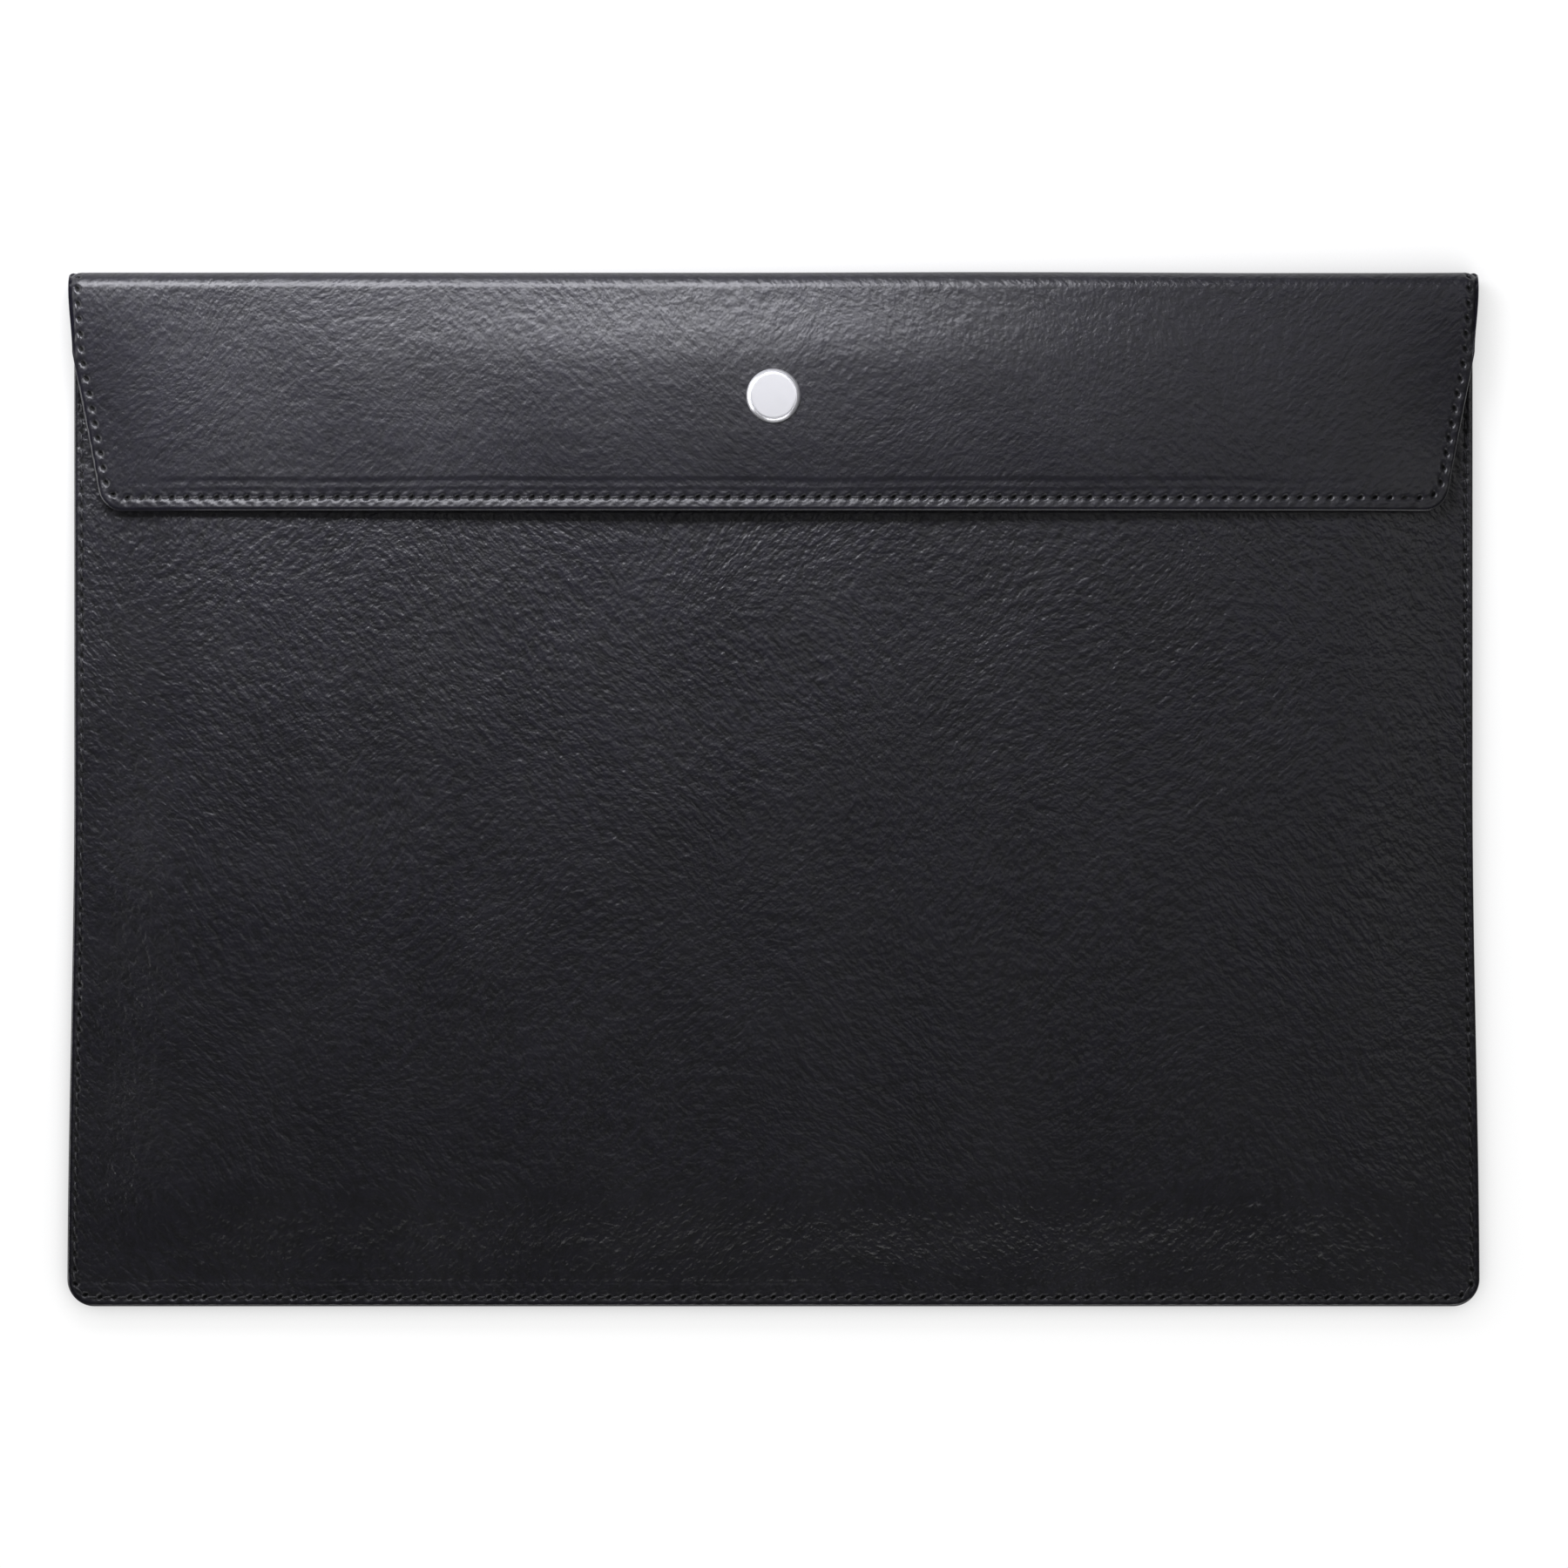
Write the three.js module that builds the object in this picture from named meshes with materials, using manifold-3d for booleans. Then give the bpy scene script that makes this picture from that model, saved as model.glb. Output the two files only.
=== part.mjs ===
// An A4 document folder in black leather: a lined envelope whose flap folds over the mouth and snaps shut.
// It lies on its back: +X across it, +Y from the bottom seam to the fold, +Z up through the front.
// The origin is on the table, at the centre of the folder's footprint. Sizes are in millimetres.
import * as THREE from "three";
import Module from "manifold-3d";
import { mergeVertices } from "three/addons/utils/BufferGeometryUtils.js";

const wasm = await Module();
wasm.setup();

// Outline of the body
const folderHeight = 245;
const bottomWidth = 335;
const sideFlare = 1.65; // by which each side spreads from the mouth to the bottom
const flareHeight = 124; // above the bottom edge, where the sides begin to spread
const bottomCornerRadius = 6.5;
const mouthSetback = 9; // from the fold's outer face to the front panel's top edge

// Outline of the flap
const foldEar = 0.85; // by which the fold stands out past the panels at each end
const foldEarLength = 2.6; // over which the wider fold runs out into the panels
const flapLength = 56.6; // from the fold's outer face to the free edge
const flapShoulder = 19; // from the fold's outer face to where the sides begin to run in
const flapTaper = 6.85; // by which each side has run in at the free edge
const flapCornerRadius = 5;

// Layers, from the outer face inwards
const leatherThickness = 1;
const coreThickness = 0.4;
const liningThickness = 0.3;
const glueLine = 0.1; // between two layers
const hemWidth = 6.2; // of the leather turned in along each outer edge
const hemSkive = 1.6; // over which the turned leather is pared away to nothing
const edgeRounding = 0.7; // of a turned edge
const liningMargin = 1.2; // from a turned edge to the lining's edge

// The pocket and its seam
const pocketDepth = 4.2; // clear height between the linings
const seamWidth = 4; // of the flat rim that is sewn to the back
const shoulderWidth = 12; // over which the front rises from the rim to its flat

// The fold and the way the flap lies
const spineFlat = 1.7; // straight stretch between the fold's two bends
const hingeGap = 0.3; // between two pieces that turn on each other
const boardSetback = 3; // from the fold's bend to the board and the filler
const boardGap = 0.6; // from the turned leather to the board and the filler
const flapClearance = 0.3; // under the flap, where its corners come down on the front
const snapLift = 2.2; // by which the snap holds the flap's middle up
const liftHalfSpan = 140; // from the snap to where the flap is down again
const edgeLiftShare = 0.6; // of the lift that is left at the free edge

// The snap
const snapSetback = 29.5; // from the fold's outer face to the snap's axis
const capRadius = 6.4;
const capHeight = 1.2;
const sheetMetal = 0.3;
const rimRounding = 0.8; // of the cap's edge
const capCurl = 1; // width of the lip that is rolled in under the cap
const capPostRadius = 1.7;
const capPostBore = 1.3;
const postLip = 0.6; // by which a set post's rolled end stands past its tube
const socketRadius = 5.2;
const socketWallInset = 0.3; // from the socket's flange to its wall
const socketMouthRadius = 3.1;
const socketGrooveRadius = 4.2;
const springWire = 0.6;
const springMeanRadius = 3.1;
const springWave = 0.45;
const springWaves = 3;
const springSplit = 0.5; // radians left open between the spring's ends
const studFlangeRadius = 4.5;
const studNeckRadius = 2.1;
const studHeadRadius = 2.7;
const studHeight = 2.35;
const studPostRadius = 1.25;
const studPostBore = 0.8;
const studPostFlange = 5;
const socketFloat = 0.25; // between the socket's mouth and the stud's flange
const metalFit = 0.1; // between one piece of the snap and the next
const holeFit = 0.2; // round a post in its leather hole

// How finely curves are drawn
const bendSteps = 6;
const roundSides = 36;

// Sizes that follow from those above
const halfHeight = folderHeight / 2;
const mouthWidth = bottomWidth - 2 * sideFlare;
const hemThickness = coreThickness + glueLine;
const liningDepth = leatherThickness + hemThickness + glueLine;
const panelStack = liningDepth + liningThickness;
const frontStack = leatherThickness + glueLine + liningThickness;
const frontUnder = panelStack + pocketDepth;
const frontTop = frontUnder + frontStack;
const closedHeight = frontTop + flapClearance + panelStack;
const foldRadius = (closedHeight - spineFlat) / 2;
const bendY = halfHeight - foldRadius;
const mouthY = halfHeight - mouthSetback;
const flapEdgeY = halfHeight - flapLength;
const snapY = halfHeight - snapSetback;
const seamTop = panelStack + glueLine + liningThickness + glueLine + hemThickness + leatherThickness;

const clamp = THREE.MathUtils.clamp;
const lerp = THREE.MathUtils.lerp;
const ease = (t) => THREE.MathUtils.smoothstep(t, 0, 1);

// How far a rounded edge or corner of that radius falls back, at a distance in from its end.
function roundOff(radius, distance) {
  const short = clamp(radius - distance, 0, radius);
  return radius - Math.sqrt(radius * radius - short * short);
}

// The wrap is the outer face's path in the YZ plane: up the back, round the fold and down the flap.
const bendLength = (foldRadius * Math.PI) / 2;
const backEnd = bendY + halfHeight;
const lowerBendEnd = backEnd + bendLength;
const upperBendStart = lowerBendEnd + spineFlat;
const flapStart = upperBendStart + bendLength;
const wrapEnd = flapStart + (bendY - flapEdgeY);
const lowerHinge = backEnd + bendLength / 2;
const upperHinge = upperBendStart + bendLength / 2;

// The wrap's place, its inward direction and how far round the fold it has turned.
function wrapAt(s) {
  const lower = clamp((s - backEnd) / foldRadius, 0, Math.PI / 2);
  const upper = clamp((s - upperBendStart) / foldRadius, 0, Math.PI / 2);
  const turn = lower + upper;
  const centreZ = foldRadius + clamp(s - lowerBendEnd, 0, spineFlat);
  const alongBack = Math.min(s - backEnd, 0);
  const alongFlap = Math.max(s - flapStart, 0);
  return {
    y: bendY + alongBack - alongFlap + foldRadius * Math.sin(turn),
    z: centreZ - foldRadius * Math.cos(turn),
    inY: -Math.sin(turn),
    inZ: Math.cos(turn),
  };
}

// Half the body's width at a height y, with its rounded bottom corners.
function bodyHalf(y) {
  const flare = clamp((flareHeight - halfHeight - y) / flareHeight, 0, 1);
  return mouthWidth / 2 + sideFlare * flare - roundOff(bottomCornerRadius, y + halfHeight);
}

// Half the flap's width at a height y, with its rounded corners.
function flapHalf(y) {
  const taper = clamp((halfHeight - flapShoulder - y) / (flapLength - flapShoulder), 0, 1);
  return mouthWidth / 2 - flapTaper * taper - roundOff(flapCornerRadius, y - flapEdgeY);
}

// Half the wrap's width at a station: the fold is a little wider than the panels it joins.
function wrapHalf(s) {
  const toFold = Math.max(backEnd - s, s - flapStart, 0);
  const panel = s < lowerHinge ? bodyHalf(wrapAt(s).y) : flapHalf(wrapAt(s).y);
  return panel + foldEar * (1 - ease(toFold / foldEarLength));
}

// How high the snap lifts the flap at a point.
function flapLift(x, y) {
  const across = Math.cos((Math.PI / 2) * clamp(x / liftHalfSpan, -1, 1)) ** 2;
  const levelRadius = capRadius + edgeRounding;
  const fromFold = ease((bendY - y) / (bendY - snapY - levelRadius));
  const toEdge = ease((snapY - levelRadius - y) / (snapY - levelRadius - flapEdgeY));
  return snapLift * across * fromFold * lerp(1, edgeLiftShare, toEdge);
}

// The thickness of the turned leather at a distance in from the edge it is turned round.
function hemAt(distance) {
  return hemThickness * clamp((hemWidth - distance) / hemSkive, 0, 1);
}

// A closed shell between two surfaces over one grid: rows run along it and columns run across in +X.
// inner(i, j) lies on the side that X cross the row direction points to.
function shell(rows, columns, outer, inner) {
  const points = [];
  for (const surface of [outer, inner])
    for (let i = 0; i < rows; i++)
      for (let j = 0; j < columns; j++) points.push(...surface(i, j));
  const at = (side, i, j) => (side * rows + i) * columns + j;
  const faces = [];
  const quad = (a, b, c, d) => faces.push(a, b, c, a, c, d);
  for (let i = 0; i < rows - 1; i++) {
    for (let j = 0; j < columns - 1; j++) {
      quad(at(0, i, j), at(0, i + 1, j), at(0, i + 1, j + 1), at(0, i, j + 1));
      quad(at(1, i, j), at(1, i, j + 1), at(1, i + 1, j + 1), at(1, i + 1, j));
    }
    const last = columns - 1;
    quad(at(0, i, 0), at(1, i, 0), at(1, i + 1, 0), at(0, i + 1, 0));
    quad(at(0, i, last), at(0, i + 1, last), at(1, i + 1, last), at(1, i, last));
  }
  for (let j = 0; j < columns - 1; j++) {
    const last = rows - 1;
    quad(at(0, 0, j), at(0, 0, j + 1), at(1, 0, j + 1), at(1, 0, j));
    quad(at(0, last, j), at(1, last, j), at(1, last, j + 1), at(0, last, j + 1));
  }
  return new THREE.BufferGeometry()
    .setAttribute("position", new THREE.Float32BufferAttribute(points, 3))
    .setIndex(faces);
}

// Distances in from an edge at which a sheet is creased or curved, from a first inset inwards.
const roundingSteps = [0, 0.15, 0.45, 1].map((t) => t * edgeRounding);
const hemSteps = [hemWidth - hemSkive, hemWidth];
const shoulderSteps = [0, 1, 2, 3, 4, 5, 6].map((n) => seamWidth + (n / 6) * shoulderWidth);
const insetsFrom = (first, ...steps) =>
  [first, ...steps.flat().filter((d) => d > first + glueLine)].sort((a, b) => a - b);

// Places across a row: insets from each side edge, and shares of the level stretch between them.
function across(half, insets, middle) {
  const level = half - insets.at(-1);
  const right = insets.slice(0, -1).map((d) => half - d);
  return [...right.map((x) => -x), ...middle.map((t) => t * level), ...right.reverse()];
}
const spread = (steps) => Array.from({ length: steps + 1 }, (_, n) => (2 * n) / steps - 1);

// Stations along the wrap between two ends: the bends' own, and any that a piece adds.
function stations(from, to, ...extra) {
  const bends = [backEnd, upperBendStart].flatMap((start) =>
    Array.from({ length: bendSteps + 1 }, (_, n) => start + (n / bendSteps) * bendLength),
  );
  const apart = hingeGap / 4;
  const within = [...bends, ...extra.flat()].filter((s) => s > from + apart && s < to - apart);
  return [from, ...within.sort((a, b) => a - b), to];
}

// One layer of the wrap between two stations, and between two depths under its outer face.
function wrapLayer({ along, insets, middle = spread(2), outer, inner, lifted = false }) {
  const rows = along.map((s) => across(wrapHalf(s), insets, middle));
  const place = (depth) => (i, j) => {
    const s = along[i];
    const x = rows[i][j];
    const { y, z, inY, inZ } = wrapAt(s);
    const openEnd = s < lowerHinge ? s : wrapEnd - s;
    const under = depth(Math.min(wrapHalf(s) - Math.abs(x), openEnd));
    const lift = lifted && s > flapStart ? flapLift(x, y) : 0;
    return [x, y + inY * under, z + inZ * under + lift];
  };
  return shell(along.length, rows[0].length, place(outer), place(inner));
}

const leatherFace = (distance) => roundOff(edgeRounding, distance);
const leatherBack = (distance) => leatherThickness + hemAt(distance);
const flat = (depth) => () => depth;

// The front panel's outer face, over the point x, y.
function frontFace(x, y) {
  const rise = (inset) => ease((inset - seamWidth) / shoulderWidth);
  const lift = rise(bodyHalf(y) - Math.abs(x)) * rise(y + halfHeight);
  return lerp(seamTop, frontTop, lift);
}

// A sheet of the front, from its mouth end down to its bottom end, between two depths under the outer face.
function frontLayer({ ys, insets, outer, inner }) {
  const rows = ys.map((y) => across(bodyHalf(y), insets, spread(2)));
  const place = (depth) => (i, j) => {
    const x = rows[i][j];
    const sides = Math.min(bodyHalf(ys[i]) - Math.abs(x), ys[i] + halfHeight);
    return [x, ys[i], frontFace(x, ys[i]) - depth(sides, mouthY - ys[i])];
  };
  return shell(ys.length, rows[0].length, place(outer), place(inner));
}

function toSolid(geometry) {
  const bare = new THREE.BufferGeometry().setAttribute("position", geometry.getAttribute("position"));
  const { index, attributes } = mergeVertices(bare.setIndex(geometry.index), 1e-4);
  const vertProperties = attributes.position.array;
  return new wasm.Manifold(new wasm.Mesh({ numProp: 3, vertProperties, triVerts: index.array }));
}

function toGeometry(solid) {
  const { vertProperties, triVerts } = solid.getMesh();
  return new THREE.BufferGeometry()
    .setAttribute("position", new THREE.BufferAttribute(vertProperties, 3))
    .setIndex(new THREE.BufferAttribute(triVerts, 1));
}

// A sheet with a round hole through it on the snap's axis.
function punched(geometry, radius) {
  const punch = new THREE.CylinderGeometry(radius, radius, 4 * closedHeight, roundSides)
    .rotateX(Math.PI / 2)
    .translate(0, snapY, 0);
  return toGeometry(toSolid(geometry).subtract(toSolid(punch)));
}

// A turned piece: its profile's points are [radius, height], anticlockwise, about the snap's axis.
function turned(profile) {
  const points = [...profile, profile[0]].map(([r, z]) => new THREE.Vector2(r, z));
  return new THREE.LatheGeometry(points, roundSides).rotateX(Math.PI / 2);
}

// Points of a quarter round from one angle to another, in degrees.
function quarter([r, z], radius, from, to, steps = 4) {
  return Array.from({ length: steps + 1 }, (_, n) => {
    const angle = THREE.MathUtils.degToRad(lerp(from, to, n / steps));
    return [r + radius * Math.cos(angle), z + radius * Math.sin(angle)];
  });
}

const leather = new THREE.MeshStandardMaterial({ color: 0x26262a, roughness: 0.5 });
const board = new THREE.MeshStandardMaterial({ color: 0x8a8378, roughness: 0.95 });
const filler = new THREE.MeshStandardMaterial({ color: 0xb9b6ae, roughness: 1 });
const lining = new THREE.MeshStandardMaterial({ color: 0x1d1d20, roughness: 0.95 });
const nickel = new THREE.MeshStandardMaterial({ color: 0xd6d6da, roughness: 0.35, metalness: 1 });
const springSteel = new THREE.MeshStandardMaterial({ color: 0xa9a9ab, roughness: 0.3, metalness: 1 });

const folder = new THREE.Group();

function add(name, geometry, material, z = 0) {
  const mesh = new THREE.Mesh(geometry, material);
  mesh.name = name;
  if (z) mesh.position.set(0, snapY, z);
  folder.add(mesh);
}

// The back: leather turned in on three sides, a board inside the turned edges and a lining over both.
const bottomSteps = [...roundingSteps, ...hemSteps, bottomCornerRadius];
const cornerSteps = [0.3, 0.6].map((t) => t * bottomCornerRadius);
const foldEars = [backEnd - foldEarLength, backEnd - foldEarLength / 2];
const liningInsets = insetsFrom(liningMargin, hemSteps);

add(
  "back_panel",
  wrapLayer({
    along: stations(0, lowerHinge - hingeGap / 2, [...bottomSteps, ...cornerSteps, flareHeight, ...foldEars]),
    insets: insetsFrom(0, roundingSteps, hemSteps),
    outer: leatherFace,
    inner: leatherBack,
  }),
  leather,
);

const boardStart = hemWidth + boardGap;
add(
  "back_board",
  wrapLayer({
    along: stations(boardStart, backEnd - boardSetback, flareHeight),
    insets: [boardStart],
    outer: flat(leatherThickness + glueLine),
    inner: flat(leatherThickness + coreThickness),
  }),
  board,
);

add(
  "back_lining",
  wrapLayer({
    along: stations(
      liningMargin,
      lowerHinge - hingeGap / 2,
      [...cornerSteps, bottomCornerRadius, flareHeight, ...foldEars],
    ),
    insets: liningInsets,
    outer: flat(liningDepth),
    inner: flat(panelStack),
  }),
  lining,
);

// The front: leather turned in all round, which rises from the sewn rim to make the pocket, and its lining.
const frontSteps = [...bottomSteps, ...cornerSteps, ...shoulderSteps];
const frontRows = (from, ...more) =>
  [...insetsFrom(from, frontSteps, flareHeight), ...more.flat()]
    .map((d) => d - halfHeight)
    .filter((y, n, all) => all.indexOf(y) === n)
    .sort((a, b) => b - a);

const mouthHeight = mouthY + halfHeight;
add(
  "front_panel",
  punched(
    frontLayer({
      ys: frontRows(0, [...roundingSteps, ...hemSteps].map((d) => mouthHeight - d)),
      insets: insetsFrom(0, roundingSteps, hemSteps, shoulderSteps),
      outer: (sides, mouth) => leatherFace(Math.min(sides, mouth)),
      inner: (sides, mouth) => leatherBack(Math.min(sides, mouth)),
    }),
    studPostRadius + holeFit,
  ),
  leather,
);

add(
  "front_lining",
  punched(
    frontLayer({
      ys: frontRows(liningMargin, mouthHeight - hemWidth - holeFit),
      insets: insetsFrom(liningMargin, hemSteps, shoulderSteps),
      outer: (sides) => leatherBack(sides) + glueLine,
      inner: (sides) => leatherBack(sides) + glueLine + liningThickness,
    }),
    studPostFlange + holeFit,
  ),
  lining,
);

// The fold: the stretch of leather and lining between the two bends' middles.
const foldStations = stations(lowerHinge + hingeGap / 2, upperHinge - hingeGap / 2);
add(
  "fold_leather",
  wrapLayer({
    along: foldStations,
    insets: [0],
    outer: flat(0),
    inner: flat(leatherThickness),
  }),
  leather,
);
add(
  "fold_lining",
  wrapLayer({
    along: foldStations,
    insets: [liningMargin],
    outer: flat(liningDepth),
    inner: flat(panelStack),
  }),
  lining,
);

// The flap: leather turned in round its free edges, a soft filler inside them and a lining over both.
const flapCorner = [0.3, 0.6, 1].map((t) => wrapEnd - t * flapCornerRadius);
const shoulderStation = wrapAt(flapStart).y - (halfHeight - flapShoulder) + flapStart;
const snapStation = flapStart + bendY - snapY;
const liftStations = [1, 2, 3, 4].map((n) => lerp(flapStart, snapStation - capRadius, n / 4));
const belowSnap = [0, 1, 2].map((n) => lerp(snapStation + capRadius, wrapEnd - hemWidth, n / 3));
const flapEars = [flapStart + foldEarLength / 2, flapStart + foldEarLength];
const flapBody = [...flapCorner, shoulderStation, ...liftStations, ...belowSnap, ...flapEars];
const flapMiddle = spread(12);

add(
  "flap_panel",
  punched(
    wrapLayer({
      along: stations(
        upperHinge + hingeGap / 2,
        wrapEnd,
        flapBody,
        [...roundingSteps, ...hemSteps].map((d) => wrapEnd - d),
      ),
      insets: insetsFrom(0, roundingSteps, hemSteps),
      middle: flapMiddle,
      outer: leatherFace,
      inner: leatherBack,
      lifted: true,
    }),
    capPostRadius + holeFit,
  ),
  leather,
);

add(
  "flap_filler",
  punched(
    wrapLayer({
      along: stations(flapStart + boardSetback, wrapEnd - boardStart, flapBody),
      insets: [boardStart],
      middle: flapMiddle,
      outer: flat(leatherThickness + glueLine),
      inner: flat(leatherThickness + coreThickness),
      lifted: true,
    }),
    socketRadius + holeFit,
  ),
  filler,
);

add(
  "flap_lining",
  punched(
    wrapLayer({
      along: stations(upperHinge + hingeGap / 2, wrapEnd - liningMargin, flapBody),
      insets: liningInsets,
      middle: flapMiddle,
      outer: flat(liningDepth),
      inner: flat(panelStack),
      lifted: true,
    }),
    socketRadius + holeFit,
  ),
  lining,
);

// The snap's cap: a pressed shell whose edge is rolled in under the post's flange.
const flapTop = closedHeight + snapLift;
const capInside = capRadius - sheetMetal;
const capCrown = capRadius - rimRounding;
add(
  "snap_cap",
  turned([
    [0, capHeight - sheetMetal],
    ...quarter([capCrown, capHeight - rimRounding], rimRounding - sheetMetal, 90, 0),
    [capInside, 2 * sheetMetal],
    [capInside - sheetMetal / 2, sheetMetal],
    [capRadius - capCurl, sheetMetal],
    [capRadius - capCurl, metalFit / 2],
    [capRadius - sheetMetal, metalFit / 2],
    [capRadius, sheetMetal],
    ...quarter([capCrown, capHeight - rimRounding], rimRounding, 0, 90),
    [0, capHeight],
  ]),
  nickel,
  flapTop,
);

// The cap's post: a flange inside the shell, a tube through the flap and an end rolled out inside the socket.
const socketTop = flapTop - leatherThickness - metalFit;
const socketRoof = socketTop - sheetMetal;
const capFlangeFoot = sheetMetal + metalFit;
const capFlangeRadius = capInside - metalFit - sheetMetal / 2;
const lipTop = socketRoof - metalFit;
const lipFoot = lipTop - sheetMetal;
add(
  "snap_cap_post",
  turned([
    [0, capFlangeFoot + sheetMetal],
    [0, capFlangeFoot],
    [capPostBore, capFlangeFoot - sheetMetal],
    [capPostBore, lipFoot - flapTop],
    [capPostRadius + postLip, lipFoot - flapTop],
    [capPostRadius + postLip, lipTop - flapTop],
    [capPostRadius, lipTop - flapTop],
    [capPostRadius, capFlangeFoot - metalFit],
    [capPostRadius + metalFit, capFlangeFoot],
    [capFlangeRadius, capFlangeFoot],
    [capFlangeRadius, capFlangeFoot + sheetMetal / 2],
    [capFlangeRadius - sheetMetal, capFlangeFoot + sheetMetal],
  ]),
  nickel,
  flapTop,
);

// The socket: a cup set under the flap's leather, with a groove for its spring round the stud's neck.
const studFoot = frontTop;
const studFlangeTop = studFoot + sheetMetal;
const socketMouth = studFlangeTop + socketFloat;
const grooveFoot = socketMouth + sheetMetal;
const grooveTop = grooveFoot + springWire + 2 * metalFit;
const socketWall = socketRadius - socketWallInset;
const socketThroat = socketMouthRadius + metalFit;
add(
  "snap_socket",
  turned([
    [capPostRadius + metalFit, socketTop],
    [capPostRadius + metalFit, socketRoof],
    [socketThroat, socketRoof],
    [socketThroat, grooveTop],
    [socketGrooveRadius, grooveTop],
    [socketGrooveRadius, grooveFoot],
    [socketMouthRadius, grooveFoot],
    [socketMouthRadius, socketMouth],
    ...quarter([socketWall - sheetMetal, socketMouth + sheetMetal], sheetMetal, -90, 0, 3),
    [socketWall, socketRoof],
    [socketRadius, socketRoof],
    [socketRadius, socketTop],
  ].map(([r, z]) => [r, z - socketMouth])),
  nickel,
  socketMouth,
);

// The spring: one bent wire, open at its ends, that lies in the groove and grips the neck between its waves.
class SpringLine extends THREE.Curve {
  getPoint(t) {
    const angle = springSplit / 2 + t * (2 * Math.PI - springSplit);
    const radius = springMeanRadius + springWave * Math.cos(springWaves * angle);
    return new THREE.Vector3(radius * Math.cos(angle), radius * Math.sin(angle), 0);
  }
}
const wireSection = new THREE.Shape().absarc(0, 0, springWire / 2, 0, 2 * Math.PI);
add(
  "snap_spring",
  new THREE.ExtrudeGeometry(wireSection, {
    extrudePath: new SpringLine(),
    steps: 16 * springWaves,
    curveSegments: 3,
    bevelEnabled: false,
  }),
  springSteel,
  (grooveFoot + grooveTop) / 2,
);

// The stud on the front, and the post that is pressed through the leather and rolled out in the stud's top.
const studSeat = studFoot + studHeight - 2 * sheetMetal - metalFit;
const neckTop = grooveTop + metalFit - studFoot;
add(
  "snap_stud",
  turned([
    [studPostRadius + metalFit, studSeat - studFoot],
    [studPostRadius + metalFit, 0],
    [studFlangeRadius, 0],
    [studFlangeRadius, sheetMetal / 2],
    [studFlangeRadius - sheetMetal / 2, sheetMetal],
    [studNeckRadius + metalFit, sheetMetal],
    [studNeckRadius, sheetMetal + metalFit],
    [studNeckRadius, neckTop - metalFit],
    [studHeadRadius, neckTop + 2 * metalFit],
    [studHeadRadius, studHeight - 2 * sheetMetal],
    [studHeadRadius - sheetMetal, studHeight - metalFit],
    [studPostRadius + postLip + 2 * metalFit, studHeight],
    [studPostRadius + postLip + metalFit, studSeat - studFoot],
  ]),
  nickel,
  studFoot,
);

const studLipFoot = studSeat + metalFit - frontUnder;
const studFlangeUp = liningThickness + glueLine / 2;
add(
  "snap_post",
  turned([
    [0, studFlangeUp - metalFit],
    [0, 0],
    [studPostFlange - sheetMetal / 2, 0],
    [studPostFlange, sheetMetal / 2],
    [studPostFlange, studFlangeUp],
    [studPostRadius, studFlangeUp],
    [studPostRadius, studLipFoot],
    [studPostRadius + postLip, studLipFoot],
    [studPostRadius + postLip, studLipFoot + sheetMetal / 2],
    [studPostRadius, studLipFoot + sheetMetal],
    [studPostBore, studLipFoot + sheetMetal],
    [studPostBore, studFlangeUp],
  ]),
  nickel,
  frontUnder,
);

export default folder;
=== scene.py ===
import math

import bmesh
import bpy
import numpy as np
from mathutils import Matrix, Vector, kdtree


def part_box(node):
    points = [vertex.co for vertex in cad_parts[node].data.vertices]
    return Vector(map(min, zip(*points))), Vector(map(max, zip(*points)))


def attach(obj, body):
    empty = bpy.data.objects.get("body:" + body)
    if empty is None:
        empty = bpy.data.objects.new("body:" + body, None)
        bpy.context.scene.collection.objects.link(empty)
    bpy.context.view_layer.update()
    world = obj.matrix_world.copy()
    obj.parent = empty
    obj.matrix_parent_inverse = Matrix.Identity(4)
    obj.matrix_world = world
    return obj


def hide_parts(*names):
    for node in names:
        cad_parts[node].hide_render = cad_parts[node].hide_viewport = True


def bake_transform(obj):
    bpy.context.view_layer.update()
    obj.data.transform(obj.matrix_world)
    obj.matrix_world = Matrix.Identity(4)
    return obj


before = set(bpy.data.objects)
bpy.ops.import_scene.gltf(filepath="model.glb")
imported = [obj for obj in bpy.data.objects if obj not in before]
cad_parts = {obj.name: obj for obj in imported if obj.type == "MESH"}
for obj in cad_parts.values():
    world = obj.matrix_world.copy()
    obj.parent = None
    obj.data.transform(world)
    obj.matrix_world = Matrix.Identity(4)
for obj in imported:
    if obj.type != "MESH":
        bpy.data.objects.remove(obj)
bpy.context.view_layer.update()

# Shapes are worked out in millimetres and become metres when a mesh is made.
MM = 0.001


def node_box(node):
    """A node's lowest and highest corners, in millimetres."""
    low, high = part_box(node)
    return np.array(low) / MM, np.array(high) / MM


FRONT_HIGH = node_box("front_panel")[1]
FOLD_HIGH = node_box("fold_leather")[1]
FLAP_LOW = node_box("flap_panel")[0]
CAP_LOW, CAP_HIGH = node_box("snap_cap")

# Points closer together than this count as one
SAME_PLACE = 0.02

# Outline of the body and the flap
HALF_HEIGHT = FOLD_HIGH[1]
MOUTH_Y = FRONT_HIGH[1]
FLAP_EDGE_Y = FLAP_LOW[1]
MOUTH_HALF = 165.85
BOTTOM_HALF = 167.5
FLARE_HEIGHT = 124.0
BOTTOM_CORNER = 6.5
FOLD_HALF = FOLD_HIGH[0]
FOLD_EAR = 2.6
FLAP_EAR = 15.0
FLAP_SHOULDER = 19.0
FLAP_EDGE_HALF = 159.0
FLAP_CORNER = 5.0

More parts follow.
